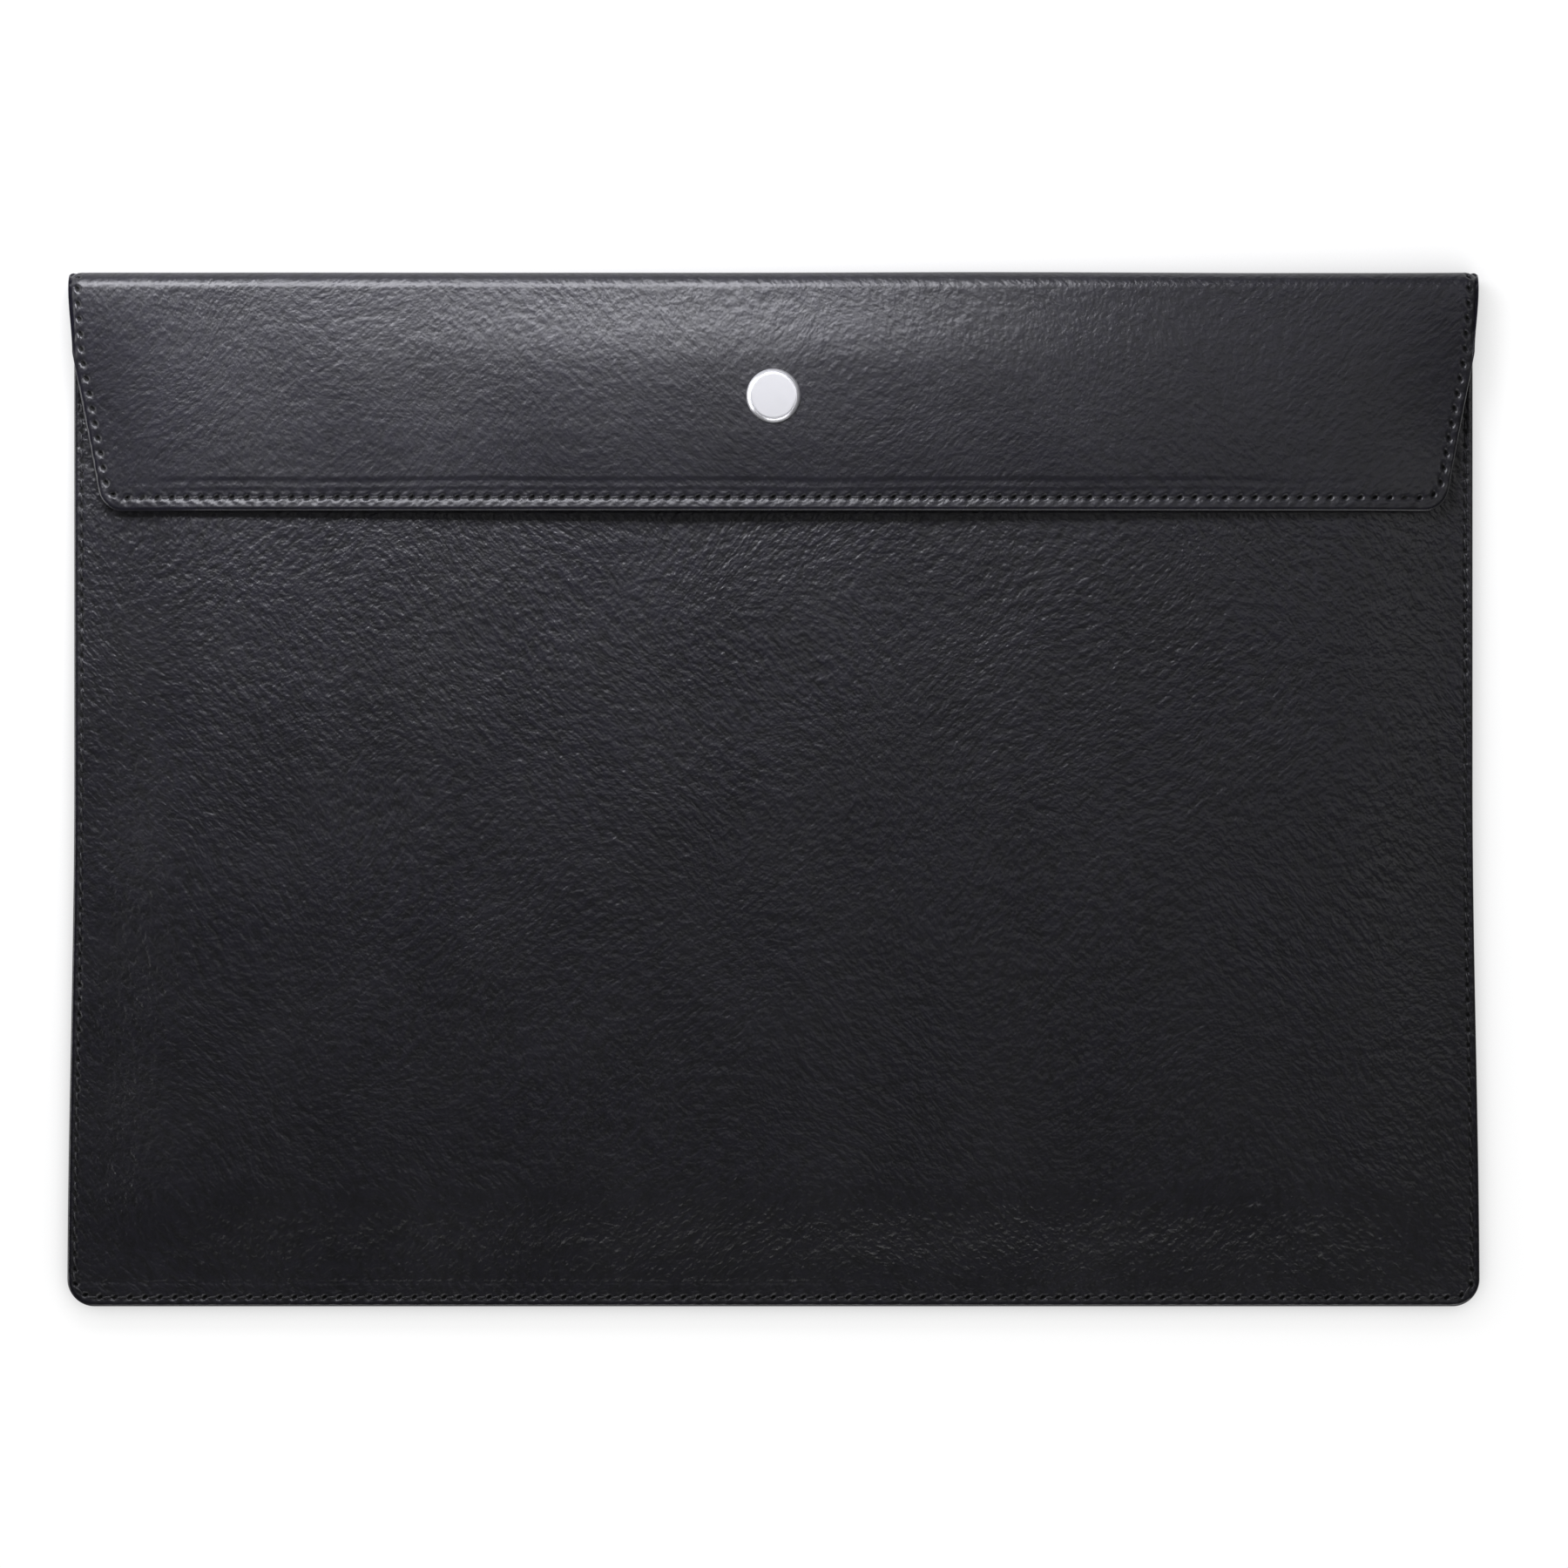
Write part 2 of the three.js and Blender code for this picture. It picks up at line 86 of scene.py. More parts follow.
# Layers and the fold
LEATHER = 1.0
LAYER_GAP = 0.3
HEM = 0.5
HEM_WIDTH = 6.2
HEM_SKIVE = 1.6
ROLLED_EDGE = 0.65
ROLLED_WIDTH = 1.0
LINING_MARGIN = 1.2
LINING_DEPTH = 1.6
LINING = 0.3
SPINE_FLAT = 1.7
SEAM_TOP = 3.9
FRONT_TOP = FRONT_HIGH[2]
CLOSED_HEIGHT = FRONT_TOP + LAYER_GAP + LINING_DEPTH + LINING
FOLD_RADIUS = (CLOSED_HEIGHT - SPINE_FLAT) / 2
BEND_Y = HALF_HEIGHT - FOLD_RADIUS

# How the soft leather lies
SEAM_WIDTH = 3.0
SHOULDER_WIDTH = 27.0
DROOP_LENGTH = 42.0
DROOP_SHARE = 0.9
SNAP_Y = (CAP_LOW[1] + CAP_HIGH[1]) / 2
CAP_SEAT = 0.05
SNAP_LIFT = CAP_LOW[2] - CLOSED_HEIGHT - CAP_SEAT
LIFT_HALF_SPAN = 140.0
EDGE_LIFT_SHARE = 0.7
RISE_INTO_BEND = 1.8
EVEN_RISE = 0.6
LEVELLING = 0.4
SIDE_ROLL = 1.1
SIDE_ROLL_WIDTH = 2.4
SIDE_ROLL_LENGTH = 26.0
SIDE_ROLL_FADE = 20.0
LEVEL_RADIUS = 7.1
WAVE_HEIGHT = 0.1
FLAP_WAVE_EDGE = 12.0
FRONT_WAVE_EDGE = 14.0
EDGE_EASE = 0.6

# Pressed lines above the flap's free edge: distance from the edge, height of the step towards it, width
PRESSED_LINES = ((6.3, 0.05, 1.2), (7.6, -0.22, 0.8), (4.45, 0.04, 0.8), (5.25, -0.14, 0.6))
BEAD_HEIGHT = 0.29
BEAD_START = 3.15
BEAD_WIDTH = 2.15

# The line where the front's turned edge ends shows through: along the bottom and elsewhere
HEM_LINE = 5.75
HEM_LINE_WIDTH = 0.42
BOTTOM_HEM_LINE = 0.15
SIDE_HEM_LINE = 0.04
BOTTOM_HEM_REACH = 12.0

# The front is cut from its own part of the hide, so its grain differs from the back's
FRONT_HIDE_OFFSET = 400.0

# Sewing
FLAP_SIDE_SEAM = 2.2
FLAP_EDGE_SEAM = 3.2
BODY_SIDE_SEAM = 1.8
BODY_BOTTOM_SEAM = 2.2
SEAM_WIDENING = 6.0
STITCH_PITCH = 3.55
STITCH_LENGTH = 2.5
THREAD_RADIUS = 0.27
THREAD_DEPTH = 0.38
FRONT_THREAD_DEPTH = 0.1
HOLE_LENGTH = 0.72
HOLE_WIDTH = 0.46
STROKE_LEAN = 1.2
HOLE_SLANT = math.radians(38)
PIT_TO_GROOVE = 6.0
FLAP_GROOVE = 0.17
BACK_GROOVE = 0.14
FRONT_GROOVE = 0.13
FLAP_PUCKER = 0.075
BACK_PUCKER = 0.05
FRONT_PUCKER = 0.04
SLANT_UNEVENNESS = 0.05
FLAP_THREAD_SLANT = 0.12
BODY_THREAD_SLANT = 0.16
STITCH_SEED = 7

# Left of this place on the flap the gathered strokes lean the other way
LEAN_CHANGE_X = -108.0
LEAN_CHANGE_WIDTH = 20.0

# How far from a seam and from an edge the distances are measured, and the one given to points beyond
SEAM_REACH = 9.0
CORNER_ALLOWANCE = 3.0
RIM_REACH = 10.0
FAR = 60.0


def ease(t):
    t = np.clip(t, 0, 1)
    return t * t * (3 - 2 * t)


def lerp(a, b, t):
    return a + (b - a) * t


def soft_limit(t, width):
    """t up to one and then one, with the corner rounded over a width on both sides."""
    over = np.clip(t - 1 + width, 0, 2 * width)
    return np.minimum(t, 1 + width) - over * over / (4 * width)


def round_off(radius, distance):
    """How far a rounded edge falls back, at a distance in from its end."""
    short = np.clip(radius - distance, 0, radius)
    return radius - np.sqrt(radius * radius - short * short)


def rolled_edge(inset):
    """How far the outer face falls back where the leather rolls over at its turned edge."""
    return round_off(ROLLED_WIDTH, inset) * ROLLED_EDGE / ROLLED_WIDTH


def bump(x, centre, width):
    return np.exp(-(((x - centre) / width) ** 2))


# The wrap is the outer face's path: up the back, round the fold and down the flap.
BEND_LENGTH = FOLD_RADIUS * math.pi / 2
BACK_END = BEND_Y + HALF_HEIGHT
LOWER_BEND_END = BACK_END + BEND_LENGTH
UPPER_BEND_START = LOWER_BEND_END + SPINE_FLAT
FLAP_START = UPPER_BEND_START + BEND_LENGTH
WRAP_END = FLAP_START + BEND_Y - FLAP_EDGE_Y
SPINE_MIDDLE = (LOWER_BEND_END + UPPER_BEND_START) / 2


def wrap_at(s):
    """The wrap's y and z and its inward direction, at stations s."""
    lower = np.clip((s - BACK_END) / FOLD_RADIUS, 0, math.pi / 2)
    upper = np.clip((s - UPPER_BEND_START) / FOLD_RADIUS, 0, math.pi / 2)
    turn = lower + upper
    centre_z = FOLD_RADIUS + np.clip(s - LOWER_BEND_END, 0, SPINE_FLAT)
    straight = np.minimum(s - BACK_END, 0) - np.maximum(s - FLAP_START, 0)
    y = BEND_Y + straight + FOLD_RADIUS * np.sin(turn)
    return y, centre_z - FOLD_RADIUS * np.cos(turn), -np.sin(turn), np.cos(turn)


def body_half(y):
    flare = np.clip((FLARE_HEIGHT - HALF_HEIGHT - y) / FLARE_HEIGHT, 0, 1)
    return lerp(MOUTH_HALF, BOTTOM_HALF, ease(flare)) - round_off(BOTTOM_CORNER, y + HALF_HEIGHT)


def flap_half(y):
    run = HALF_HEIGHT - FLAP_EDGE_Y - FLAP_SHOULDER
    taper = np.clip((HALF_HEIGHT - FLAP_SHOULDER - y) / run, 0, 1)
    return lerp(MOUTH_HALF, FLAP_EDGE_HALF, taper) - round_off(FLAP_CORNER, y - FLAP_EDGE_Y)


def wrap_half(s):
    y = wrap_at(s)[0]
    on_flap = s > SPINE_MIDDLE
    run_out = np.where(on_flap, (s - FLAP_START) / FLAP_EAR, (BACK_END - s) / FOLD_EAR)
    panel = np.where(on_flap, flap_half(y), body_half(y))
    return panel + (FOLD_HALF - MOUTH_HALF) * (1 - ease(run_out))


def waves(x, y):
    """The leather's own slow unevenness."""
    slow = np.sin(x / 21 + 1.3 * np.sin(y / 33 + 0.4)) * np.sin(y / 17 + 0.9 * np.sin(x / 45))
    broad = np.sin(x / 47 + y / 61 + 2.1) * np.cos(y / 38 - x / 90 + 0.7)
    return WAVE_HEIGHT * (0.6 * slow + broad)


def front_face(x, y):
    """The height of the front's outer face."""
    rise_x = ease((body_half(y) - np.abs(x) - SEAM_WIDTH) / SHOULDER_WIDTH)
    rise_y = ease((y + HALF_HEIGHT - SEAM_WIDTH) / SHOULDER_WIDTH)
    return lerp(SEAM_TOP, FRONT_TOP, rise_x * rise_y)


def flap_shift(x, y):
    """How far the flap lies above its level sheet: up at the snap, down over the front's shoulders."""
    across = np.cos(np.pi / 2 * np.clip(x / LIFT_HALF_SPAN, -1, 1)) ** 1.3
    rise_start = BEND_Y + RISE_INTO_BEND
    climb = np.maximum((rise_start - y) / (rise_start - SNAP_Y - LEVEL_RADIUS), 0)
    from_fold = lerp(ease(climb), soft_limit(climb, LEVELLING), EVEN_RISE)
    to_edge = ease((SNAP_Y - LEVEL_RADIUS - y) / (SNAP_Y - LEVEL_RADIUS - FLAP_EDGE_Y))
    lift = SNAP_LIFT * across * from_fold * lerp(1, EDGE_LIFT_SHARE, to_edge)
    droop = DROOP_SHARE * (FRONT_TOP - front_face(x, y)) * ease((BEND_Y - y) / DROOP_LENGTH)
    return lift - droop


# Seams: a path is a row of (x, s) points a tenth of a millimetre apart.
PATH_STEP = 0.1


def resampled(points):
    points = np.array(points, float)
    lengths = np.r_[0, np.cumsum(np.linalg.norm(np.diff(points, axis=0), axis=1))]
    along = np.linspace(0, lengths[-1], int(lengths[-1] / PATH_STEP) + 1)
    return np.c_[np.interp(along, lengths, points[:, 0]), np.interp(along, lengths, points[:, 1])]


def outline(half, start, end, corner):
    """The sewn outline from the left side's start round the far end to the right side's start."""
    side = np.linspace(start, end - np.sign(end - start) * corner, 200)
    angles = np.linspace(0, math.pi / 2, 40)
    turn = end - np.sign(end - start) * corner * (1 - np.sin(angles))
    stations = np.r_[side, turn[1:]]
    left = np.c_[-half(stations), stations]
    right = left[::-1] * [-1, 1]
    return resampled(np.r_[left, right])


def seam_line(edge, side_inset, end_inset, end):
    """The outline moved in by the seam's allowance, which widens towards the far end."""
    tangent = np.gradient(edge, axis=0)
    tangent /= np.linalg.norm(tangent, axis=1, keepdims=True)
    inward = np.c_[-tangent[:, 1], tangent[:, 0]]
    if inward[len(edge) // 20, 0] < 0:
        inward = -inward
    near_end = ease(1 - np.abs(edge[:, 1] - end) / SEAM_WIDENING)
    allowance = lerp(side_inset, end_inset, near_end)[:, None]
    return resampled(edge + inward * allowance)


class Seam:
    """A line of holes, from which points near it get their place along and across it."""

    def __init__(self, edge, side_inset, end_inset, end):
        self.outward = np.sign(end - edge[0, 1])
        self.line = seam_line(edge, side_inset, end_inset, end)
        self.length = PATH_STEP * (len(self.line) - 1)
        self.count = round(self.length / STITCH_PITCH)
        self.pitch = self.length / self.count
        self.line_tree = self.tree(self.line)
        self.edge_tree = self.tree(edge)

    @staticmethod
    def tree(path):
        tree = kdtree.KDTree(len(path))
        for n, (x, s) in enumerate(path):
            tree.insert((x, s, 0), n)
        tree.balance()
        return tree

    def measure(self, xs, ss, rough):
        """Distance in from the edge, and place along the seam, in stitches, and across it, in millimetres."""
        inset = rough.astype(float).copy()
        along = np.zeros_like(inset)
        across = np.full_like(inset, FAR)
        tangents = np.gradient(self.line, axis=0) / PATH_STEP
        for k in np.flatnonzero(rough < SEAM_REACH + CORNER_ALLOWANCE):
            point = (xs[k], ss[k], 0)
            inset[k] = min(self.edge_tree.find(point)[2], inset[k]) if rough[k] > SAME_PLACE else 0
            _, n, _ = self.line_tree.find(point)
            offset = np.array(point[:2]) - self.line[n]
            t = tangents[n]
            along[k] = (n * PATH_STEP + offset @ t) / self.pitch
            side = self.outward * (t[0] * offset[1] - t[1] * offset[0])
            across[k] = side if abs(side) < SEAM_REACH else FAR
        return inset, along, across


# Meshes
def sharpened(mesh, angle=35):
    """Smooth shading, with sharp edges where faces meet at more than the angle."""
    mesh.shade_smooth()
    mesh.set_sharp_from_angle(angle=math.radians(angle))


def linked(name, mesh, material):
    mesh.materials.clear()
    mesh.materials.append(material)
    piece = bpy.data.objects.new(name, mesh)
    bpy.context.scene.collection.objects.link(piece)
    return piece


def row_faces(segments, margin):
    """Faces between rows of points; each row has its own number of segments between two equal margins."""
    starts = np.cumsum([0] + [count + 1 + 2 * margin for count in segments])
    faces = []
    for upper, lower, one, two in zip(segments, segments[1:], starts, starts[1:]):
        shared = min(upper, lower)
        up, down = upper // shared, lower // shared
        for k in range(margin):
            for a, b in ((one + k, two + k), (one + margin + upper + k, two + margin + lower + k)):
                faces.append([a, b, b + 1, a + 1])
        one, two = one + margin, two + margin
        for k in range(shared):
            below = range(two + k * down, two + (k + 1) * down + 1)
            above = range(one + (k + 1) * up, one + k * up - 1, -1)
            faces.append([*below, *above])
    return faces


def shell(name, rows, outer, inner, maps, material):
    """A closed sheet between two layers of points; maps holds a UV value for each point of a layer."""
    n = len(rows.xs)
    faces = row_faces(rows.segments, rows.margin)
    faces += [[n + k for k in reversed(face)] for face in faces]
    starts, ends = rows.starts, rows.starts[1:] - 1
    first, last = np.arange(starts[1]), np.arange(starts[-2], n)
    for line, outward in ((starts[:-1], 1), (ends, -1), (first, -1), (last, 1)):
        for a, b in zip(line.tolist(), line[1:].tolist()):
            faces.append([a, n + a, n + b, b][::outward])
    points = np.r_[outer, inner] * MM
    mesh = bpy.data.meshes.new(name)
    mesh.from_pydata(points.tolist(), [], faces)
    corners = np.empty(len(mesh.loops), int)
    mesh.loops.foreach_get("vertex_index", corners)
    for map_name, values in maps.items():
        layer = mesh.uv_layers.new(name=map_name)
        layer.data.foreach_set("uv", values[corners % n].ravel())
    mesh.validate()
    sharpened(mesh)
    return linked(name, mesh, material)


EDGE_STEPS = [
    0, 0.03, 0.1, 0.2, 0.34, 0.5, 0.7, 0.95, 1.25, 1.5, 1.75, 2.0, 2.25, 2.5, 2.8, 3.1,
    3.4, 3.7, 4.1, 4.5, 4.9, 5.3, 5.7, 6.1, 6.5, 7.0, 7.5, 8.0, 8.6, 9.4, 10.4,
]


class Rows:
    """Points in rows across a piece, fine at both edges; split divides the middle's segments in some rows."""

    def __init__(self, stations, half, step, insets=EDGE_STEPS, split=None):
        insets = np.array(insets)
        halves = [float(half(np.array(s))) for s in stations]
        base = 2 * int((max(halves) - insets[-1]) / step)
        self.margin = len(insets) - 1
        self.segments = [base * n for n in (split or [1] * len(stations))]
        places = []
        for h, count in zip(halves, self.segments):
            edge = h - insets[:-1]
            places.append(np.r_[-edge, np.linspace(-1, 1, count + 1) * (h - insets[-1]), edge[::-1]])
        self.starts = np.cumsum([0] + [len(row) for row in places])
        self.xs = np.concatenate(places)
        self.ss = np.repeat(stations, [len(row) for row in places])


def hem_at(inset):
    return HEM * np.clip((HEM_WIDTH - inset) / HEM_SKIVE, 0, 1)


def stack(x, y, z):
    return np.stack([x, y, z], -1)


def flap_creases(xs, end_distance):
    """The pressed lines along the flap's free edge, and the bead that its sewn edge rises to."""
    # The lines fade out at both ends and are weaker on the right
    reach = ease((xs + 156) / 22) * lerp(1, 0.3, ease((xs - 60) / 70)) * ease((150 - xs) / 25)
    waver = 0.12 * np.sin(xs / 9.0) + 0.1 * np.sin(xs / 23.0 + 1)

    def beyond(distance, run):
        return 1 - ease((end_distance + waver - distance) / run + 0.5)

    steps = sum(height * beyond(distance, run) for distance, height, run in PRESSED_LINES)
    bead = BEAD_HEIGHT * np.clip((BEAD_START - end_distance) / BEAD_WIDTH, 0, 1)
    return reach * (steps + bead)


def side_roll(side_inset, s):
    """How far the flap's side edges hang over next to the fold."""
    near_edge = ease((SIDE_ROLL_WIDTH - side_inset) / SIDE_ROLL_WIDTH)
    return SIDE_ROLL * near_edge * ease((FLAP_START + SIDE_ROLL_LENGTH - s) / SIDE_ROLL_FADE)


def hole_axes(to_hole, outward):
    """Distances from a hole's middle along and across its slanting length."""
    cosine, sine = math.cos(HOLE_SLANT), math.sin(HOLE_SLANT)
    return to_hole * cosine - outward * sine, to_hole * sine + outward * cosine


def seam_relief(along, outward, depth, pucker, lean=STROKE_LEAN):
    """A groove along the stitches, a pit at each hole, and leaning strokes where the leather is gathered."""
    near = np.abs(outward) < SEAM_REACH
    to_hole = (along - np.round(along)) * STITCH_PITCH
    groove = 0.5 * depth * bump(outward, 0.1, 0.5)
    length, width = hole_axes(to_hole, outward)
    pit = PIT_TO_GROOVE * depth * np.exp(-((length / HOLE_LENGTH) ** 2) - (width / HOLE_WIDTH) ** 2)
    # The strokes rise between the holes outside the seam, and less and the other way round inside it
    swell = np.cos(2 * np.pi * (along + lean * outward / STITCH_PITCH))
    gathered = pucker * swell * (bump(outward, 1.05, 0.6) - 0.6 * bump(outward, -1.0, 0.6))
    return np.where(near, gathered - groove - pit, 0)


def wrap_points(xs, ss, depth, shifted):
    y, z, in_y, in_z = wrap_at(ss)
    shift = np.where(ss > UPPER_BEND_START, flap_shift(xs, y), 0) if shifted else 0
    return stack(xs, y + in_y * depth, z + in_z * depth + shift)


def flat_map(xs, ss):
    """The sheet laid flat, in metres."""
    return np.stack([xs, ss], -1) * MM


def leather_maps(xs, ss, along, outward, inset):
    """UV maps: the leather laid flat, the place by the seam, and the distance in from the turned edge."""
    rim = np.stack([np.minimum(inset, RIM_REACH), np.zeros_like(inset)], -1)
    return {"hide": flat_map(xs, ss), "seam": np.stack([along, outward], -1), "rim": rim}


def fine_near(stations, end, split):
    """How finely each row is divided: split times near the end that is sewn."""
    return [split if abs(s - end) < EDGE_STEPS[-1] - SAME_PLACE / 2 else 1 for s in stations]


def rows_between(start, end, step, *fine):
    """Stations from start to end, a step apart, with the fine ones kept and crowding ones dropped."""
    places = sorted({start, end, *np.concatenate([np.atleast_1d(f) for f in fine])})
    places = [p for p in places if start <= p <= end]
    out = [places[0]]
    for p in places[1:]:
        gap = p - out[-1]
        if gap < SAME_PLACE:
            continue
        parts = max(1, math.ceil(gap / step))
        out += list(out[-1] + gap * np.arange(1, parts + 1) / parts)
    return np.array(out)


BEND_ROWS = np.r_[np.linspace(BACK_END, LOWER_BEND_END, 13), np.linspace(UPPER_BEND_START, FLAP_START, 13)]


def make_flap_leather(material, seam):
    edge = WRAP_END - np.array(EDGE_STEPS)
    bends = BEND_ROWS[BEND_ROWS > SPINE_MIDDLE]
    stations = rows_between(SPINE_MIDDLE, WRAP_END, 0.5, edge, bends)
    rows = Rows(stations, wrap_half, 2.4, split=fine_near(stations, WRAP_END, 6))
    xs, ss = rows.xs, rows.ss
    side_inset = wrap_half(ss) - np.abs(xs)
    rough = np.minimum(side_inset, WRAP_END - ss)
    inset, along, outward = seam.measure(xs, ss, rough)
    lean = STROKE_LEAN * np.clip((xs - LEAN_CHANGE_X) / LEAN_CHANGE_WIDTH, -1, 1)
    relief = seam_relief(along, outward, FLAP_GROOVE, FLAP_PUCKER, lean)
    relief = relief + flap_creases(xs, WRAP_END - ss)
    relief = relief + waves(xs, wrap_at(ss)[0]) * ease(inset / FLAP_WAVE_EDGE)
    hanging = side_roll(side_inset, ss)
    relief = relief - hanging
    rolled = rolled_edge(inset)
    outer = wrap_points(xs, ss, rolled - relief * ease(inset / EDGE_EASE), True)
    inner = wrap_points(xs, ss, LEATHER + hem_at(inset) - rolled + hanging, True)
    maps = leather_maps(xs, ss, along, outward, inset)
    return shell("flap_leather", rows, outer, inner, maps, material)


def make_back_leather(material, seam):
    edge = np.array(EDGE_STEPS)
    bends = BEND_ROWS[BEND_ROWS < SPINE_MIDDLE]
    ears = BACK_END - np.linspace(0, FOLD_EAR, 5)
    stations = rows_between(0.0, SPINE_MIDDLE, 1.2, edge, bends, ears)
    rows = Rows(stations, wrap_half, 4.2, split=fine_near(stations, 0, 6))
    xs, ss = rows.xs, rows.ss
    rough = np.minimum(wrap_half(ss) - np.abs(xs), ss)
    inset, along, outward = seam.measure(xs, ss, rough)
    relief = np.minimum(seam_relief(along, outward, BACK_GROOVE, BACK_PUCKER), 0)
    rolled = rolled_edge(inset)
    outer = wrap_points(xs, ss, rolled - relief * ease(inset / EDGE_EASE), False)
    inner = wrap_points(xs, ss, LEATHER + hem_at(inset) - rolled, False)
    maps = leather_maps(xs, ss, along, outward, inset)
    return shell("back_leather", rows, outer, inner, maps, material)


def make_front_leather(material, seam):
    bottom = -HALF_HEIGHT + np.array(EDGE_STEPS)
    mouth = MOUTH_Y - np.array(EDGE_STEPS[:27])
    stations = rows_between(-HALF_HEIGHT, MOUTH_Y, 1.2, bottom, mouth)[::-1]
    rows = Rows(stations, body_half, 4.2, split=fine_near(stations, -HALF_HEIGHT, 7))
    xs, yy = rows.xs, rows.ss
    rough = np.minimum(body_half(yy) - np.abs(xs), yy + HALF_HEIGHT)
    inset, along, outward = seam.measure(xs, yy, rough)
    to_mouth = MOUTH_Y - yy
    to_edge = np.minimum(inset, to_mouth)
    relief = seam_relief(along, outward, FRONT_GROOVE, FRONT_PUCKER)
    # Along the bottom the turned edge's line fades out to the right
    by_bottom = yy < -HALF_HEIGHT + BOTTOM_HEM_REACH
    hem_depth = np.where(by_bottom, BOTTOM_HEM_LINE * ease((60 - xs) / 80), SIDE_HEM_LINE)
    relief = relief - hem_depth * bump(inset, HEM_LINE, HEM_LINE_WIDTH)
    relief = relief + waves(xs, yy) * ease(inset / FRONT_WAVE_EDGE) * ease(to_mouth / FRONT_WAVE_EDGE)
    rolled = rolled_edge(to_edge)
    z = front_face(xs, yy)
    outer = stack(xs, yy, z - rolled + relief * ease(to_edge / EDGE_EASE))
    inner = stack(xs, yy, z - LEATHER - hem_at(to_edge) + rolled)
    maps = leather_maps(xs, yy + FRONT_HIDE_OFFSET, along, outward, to_edge)
    return shell("front_leather", rows, outer, inner, maps, material)


LINING_STEPS = [0, 1, 2, 3, 4, 5, 6, 7.5, 9, 11]
LINING_ROW = 3.0
HEM_CLEARANCE = 0.2
LINING_GAP = 0.1


def make_wrap_lining(name, material, start, end, shifted):
    """The wrap's cloth lining between two stations, its edge a margin in from the leather's."""
    def half(s):
        return wrap_half(s) - LINING_MARGIN

    rows = Rows(rows_between(start, end, LINING_ROW, BEND_ROWS), half, LINING_ROW, LINING_STEPS)
    xs, ss = rows.xs, rows.ss
    outer = wrap_points(xs, ss, LINING_DEPTH, shifted)
    inner = wrap_points(xs, ss, LINING_DEPTH + LINING, shifted)
    return shell(name, rows, outer, inner, {"cloth": flat_map(xs, ss)}, material)


def make_front_lining(material):
    def half(y):
        return body_half(y) - LINING_MARGIN

    low, high = -HALF_HEIGHT + LINING_MARGIN, MOUTH_Y - HEM_WIDTH - HEM_CLEARANCE
    stations = rows_between(low, high, LINING_ROW, low + np.array(LINING_STEPS))[::-1]
    rows = Rows(stations, half, LINING_ROW, LINING_STEPS)
    xs, yy = rows.xs, rows.ss
    inset = np.minimum(body_half(yy) - np.abs(xs), yy + HALF_HEIGHT)
    under = front_face(xs, yy) - LEATHER - hem_at(inset) - LINING_GAP
    outer, inner = stack(xs, yy, under), stack(xs, yy, under - LINING)
    return shell("front_lining_cloth", rows, outer, inner, {"cloth": flat_map(xs, yy)}, material)


# Stitches: what is left of the girth at the tips, the arch and how deep it lies, as shares of the radius
THREAD_TIP = 0.12
THREAD_ARCH = 1.1
THREAD_SINK = 0.9


def stitch_template(name, length, radius, sides=7, rings=7):
    """One stitch of thread lying along X, whose ends dip into the leather."""
    stitch = bmesh.new()
    loops = []
    for n in range(rings):
        t = n / (rings - 1) * 2 - 1
        girth = radius * math.sqrt(max(1 - abs(t) ** 5, THREAD_TIP))
        height = radius * THREAD_ARCH * (1 - t * t) - radius * THREAD_SINK
        centre = Vector((t * length / 2, 0, height))
        loops.append([
            stitch.verts.new(centre + Vector((0, math.cos(a), math.sin(a))) * girth)
            for a in (2 * math.pi * k / sides for k in range(sides))
        ])
    for one, two in zip(loops, loops[1:]):
        for k in range(sides):
            stitch.faces.new((one[k], one[(k + 1) % sides], two[(k + 1) % sides], two[k]))
    stitch.faces.new(loops[0][::-1])
    stitch.faces.new(loops[-1])
    bmesh.ops.recalc_face_normals(stitch, faces=stitch.faces)
    mesh = bpy.data.meshes.new(name)
    stitch.to_mesh(mesh)
    stitch.free()
    mesh.shade_smooth()
    return bpy.data.objects.new(name, mesh)


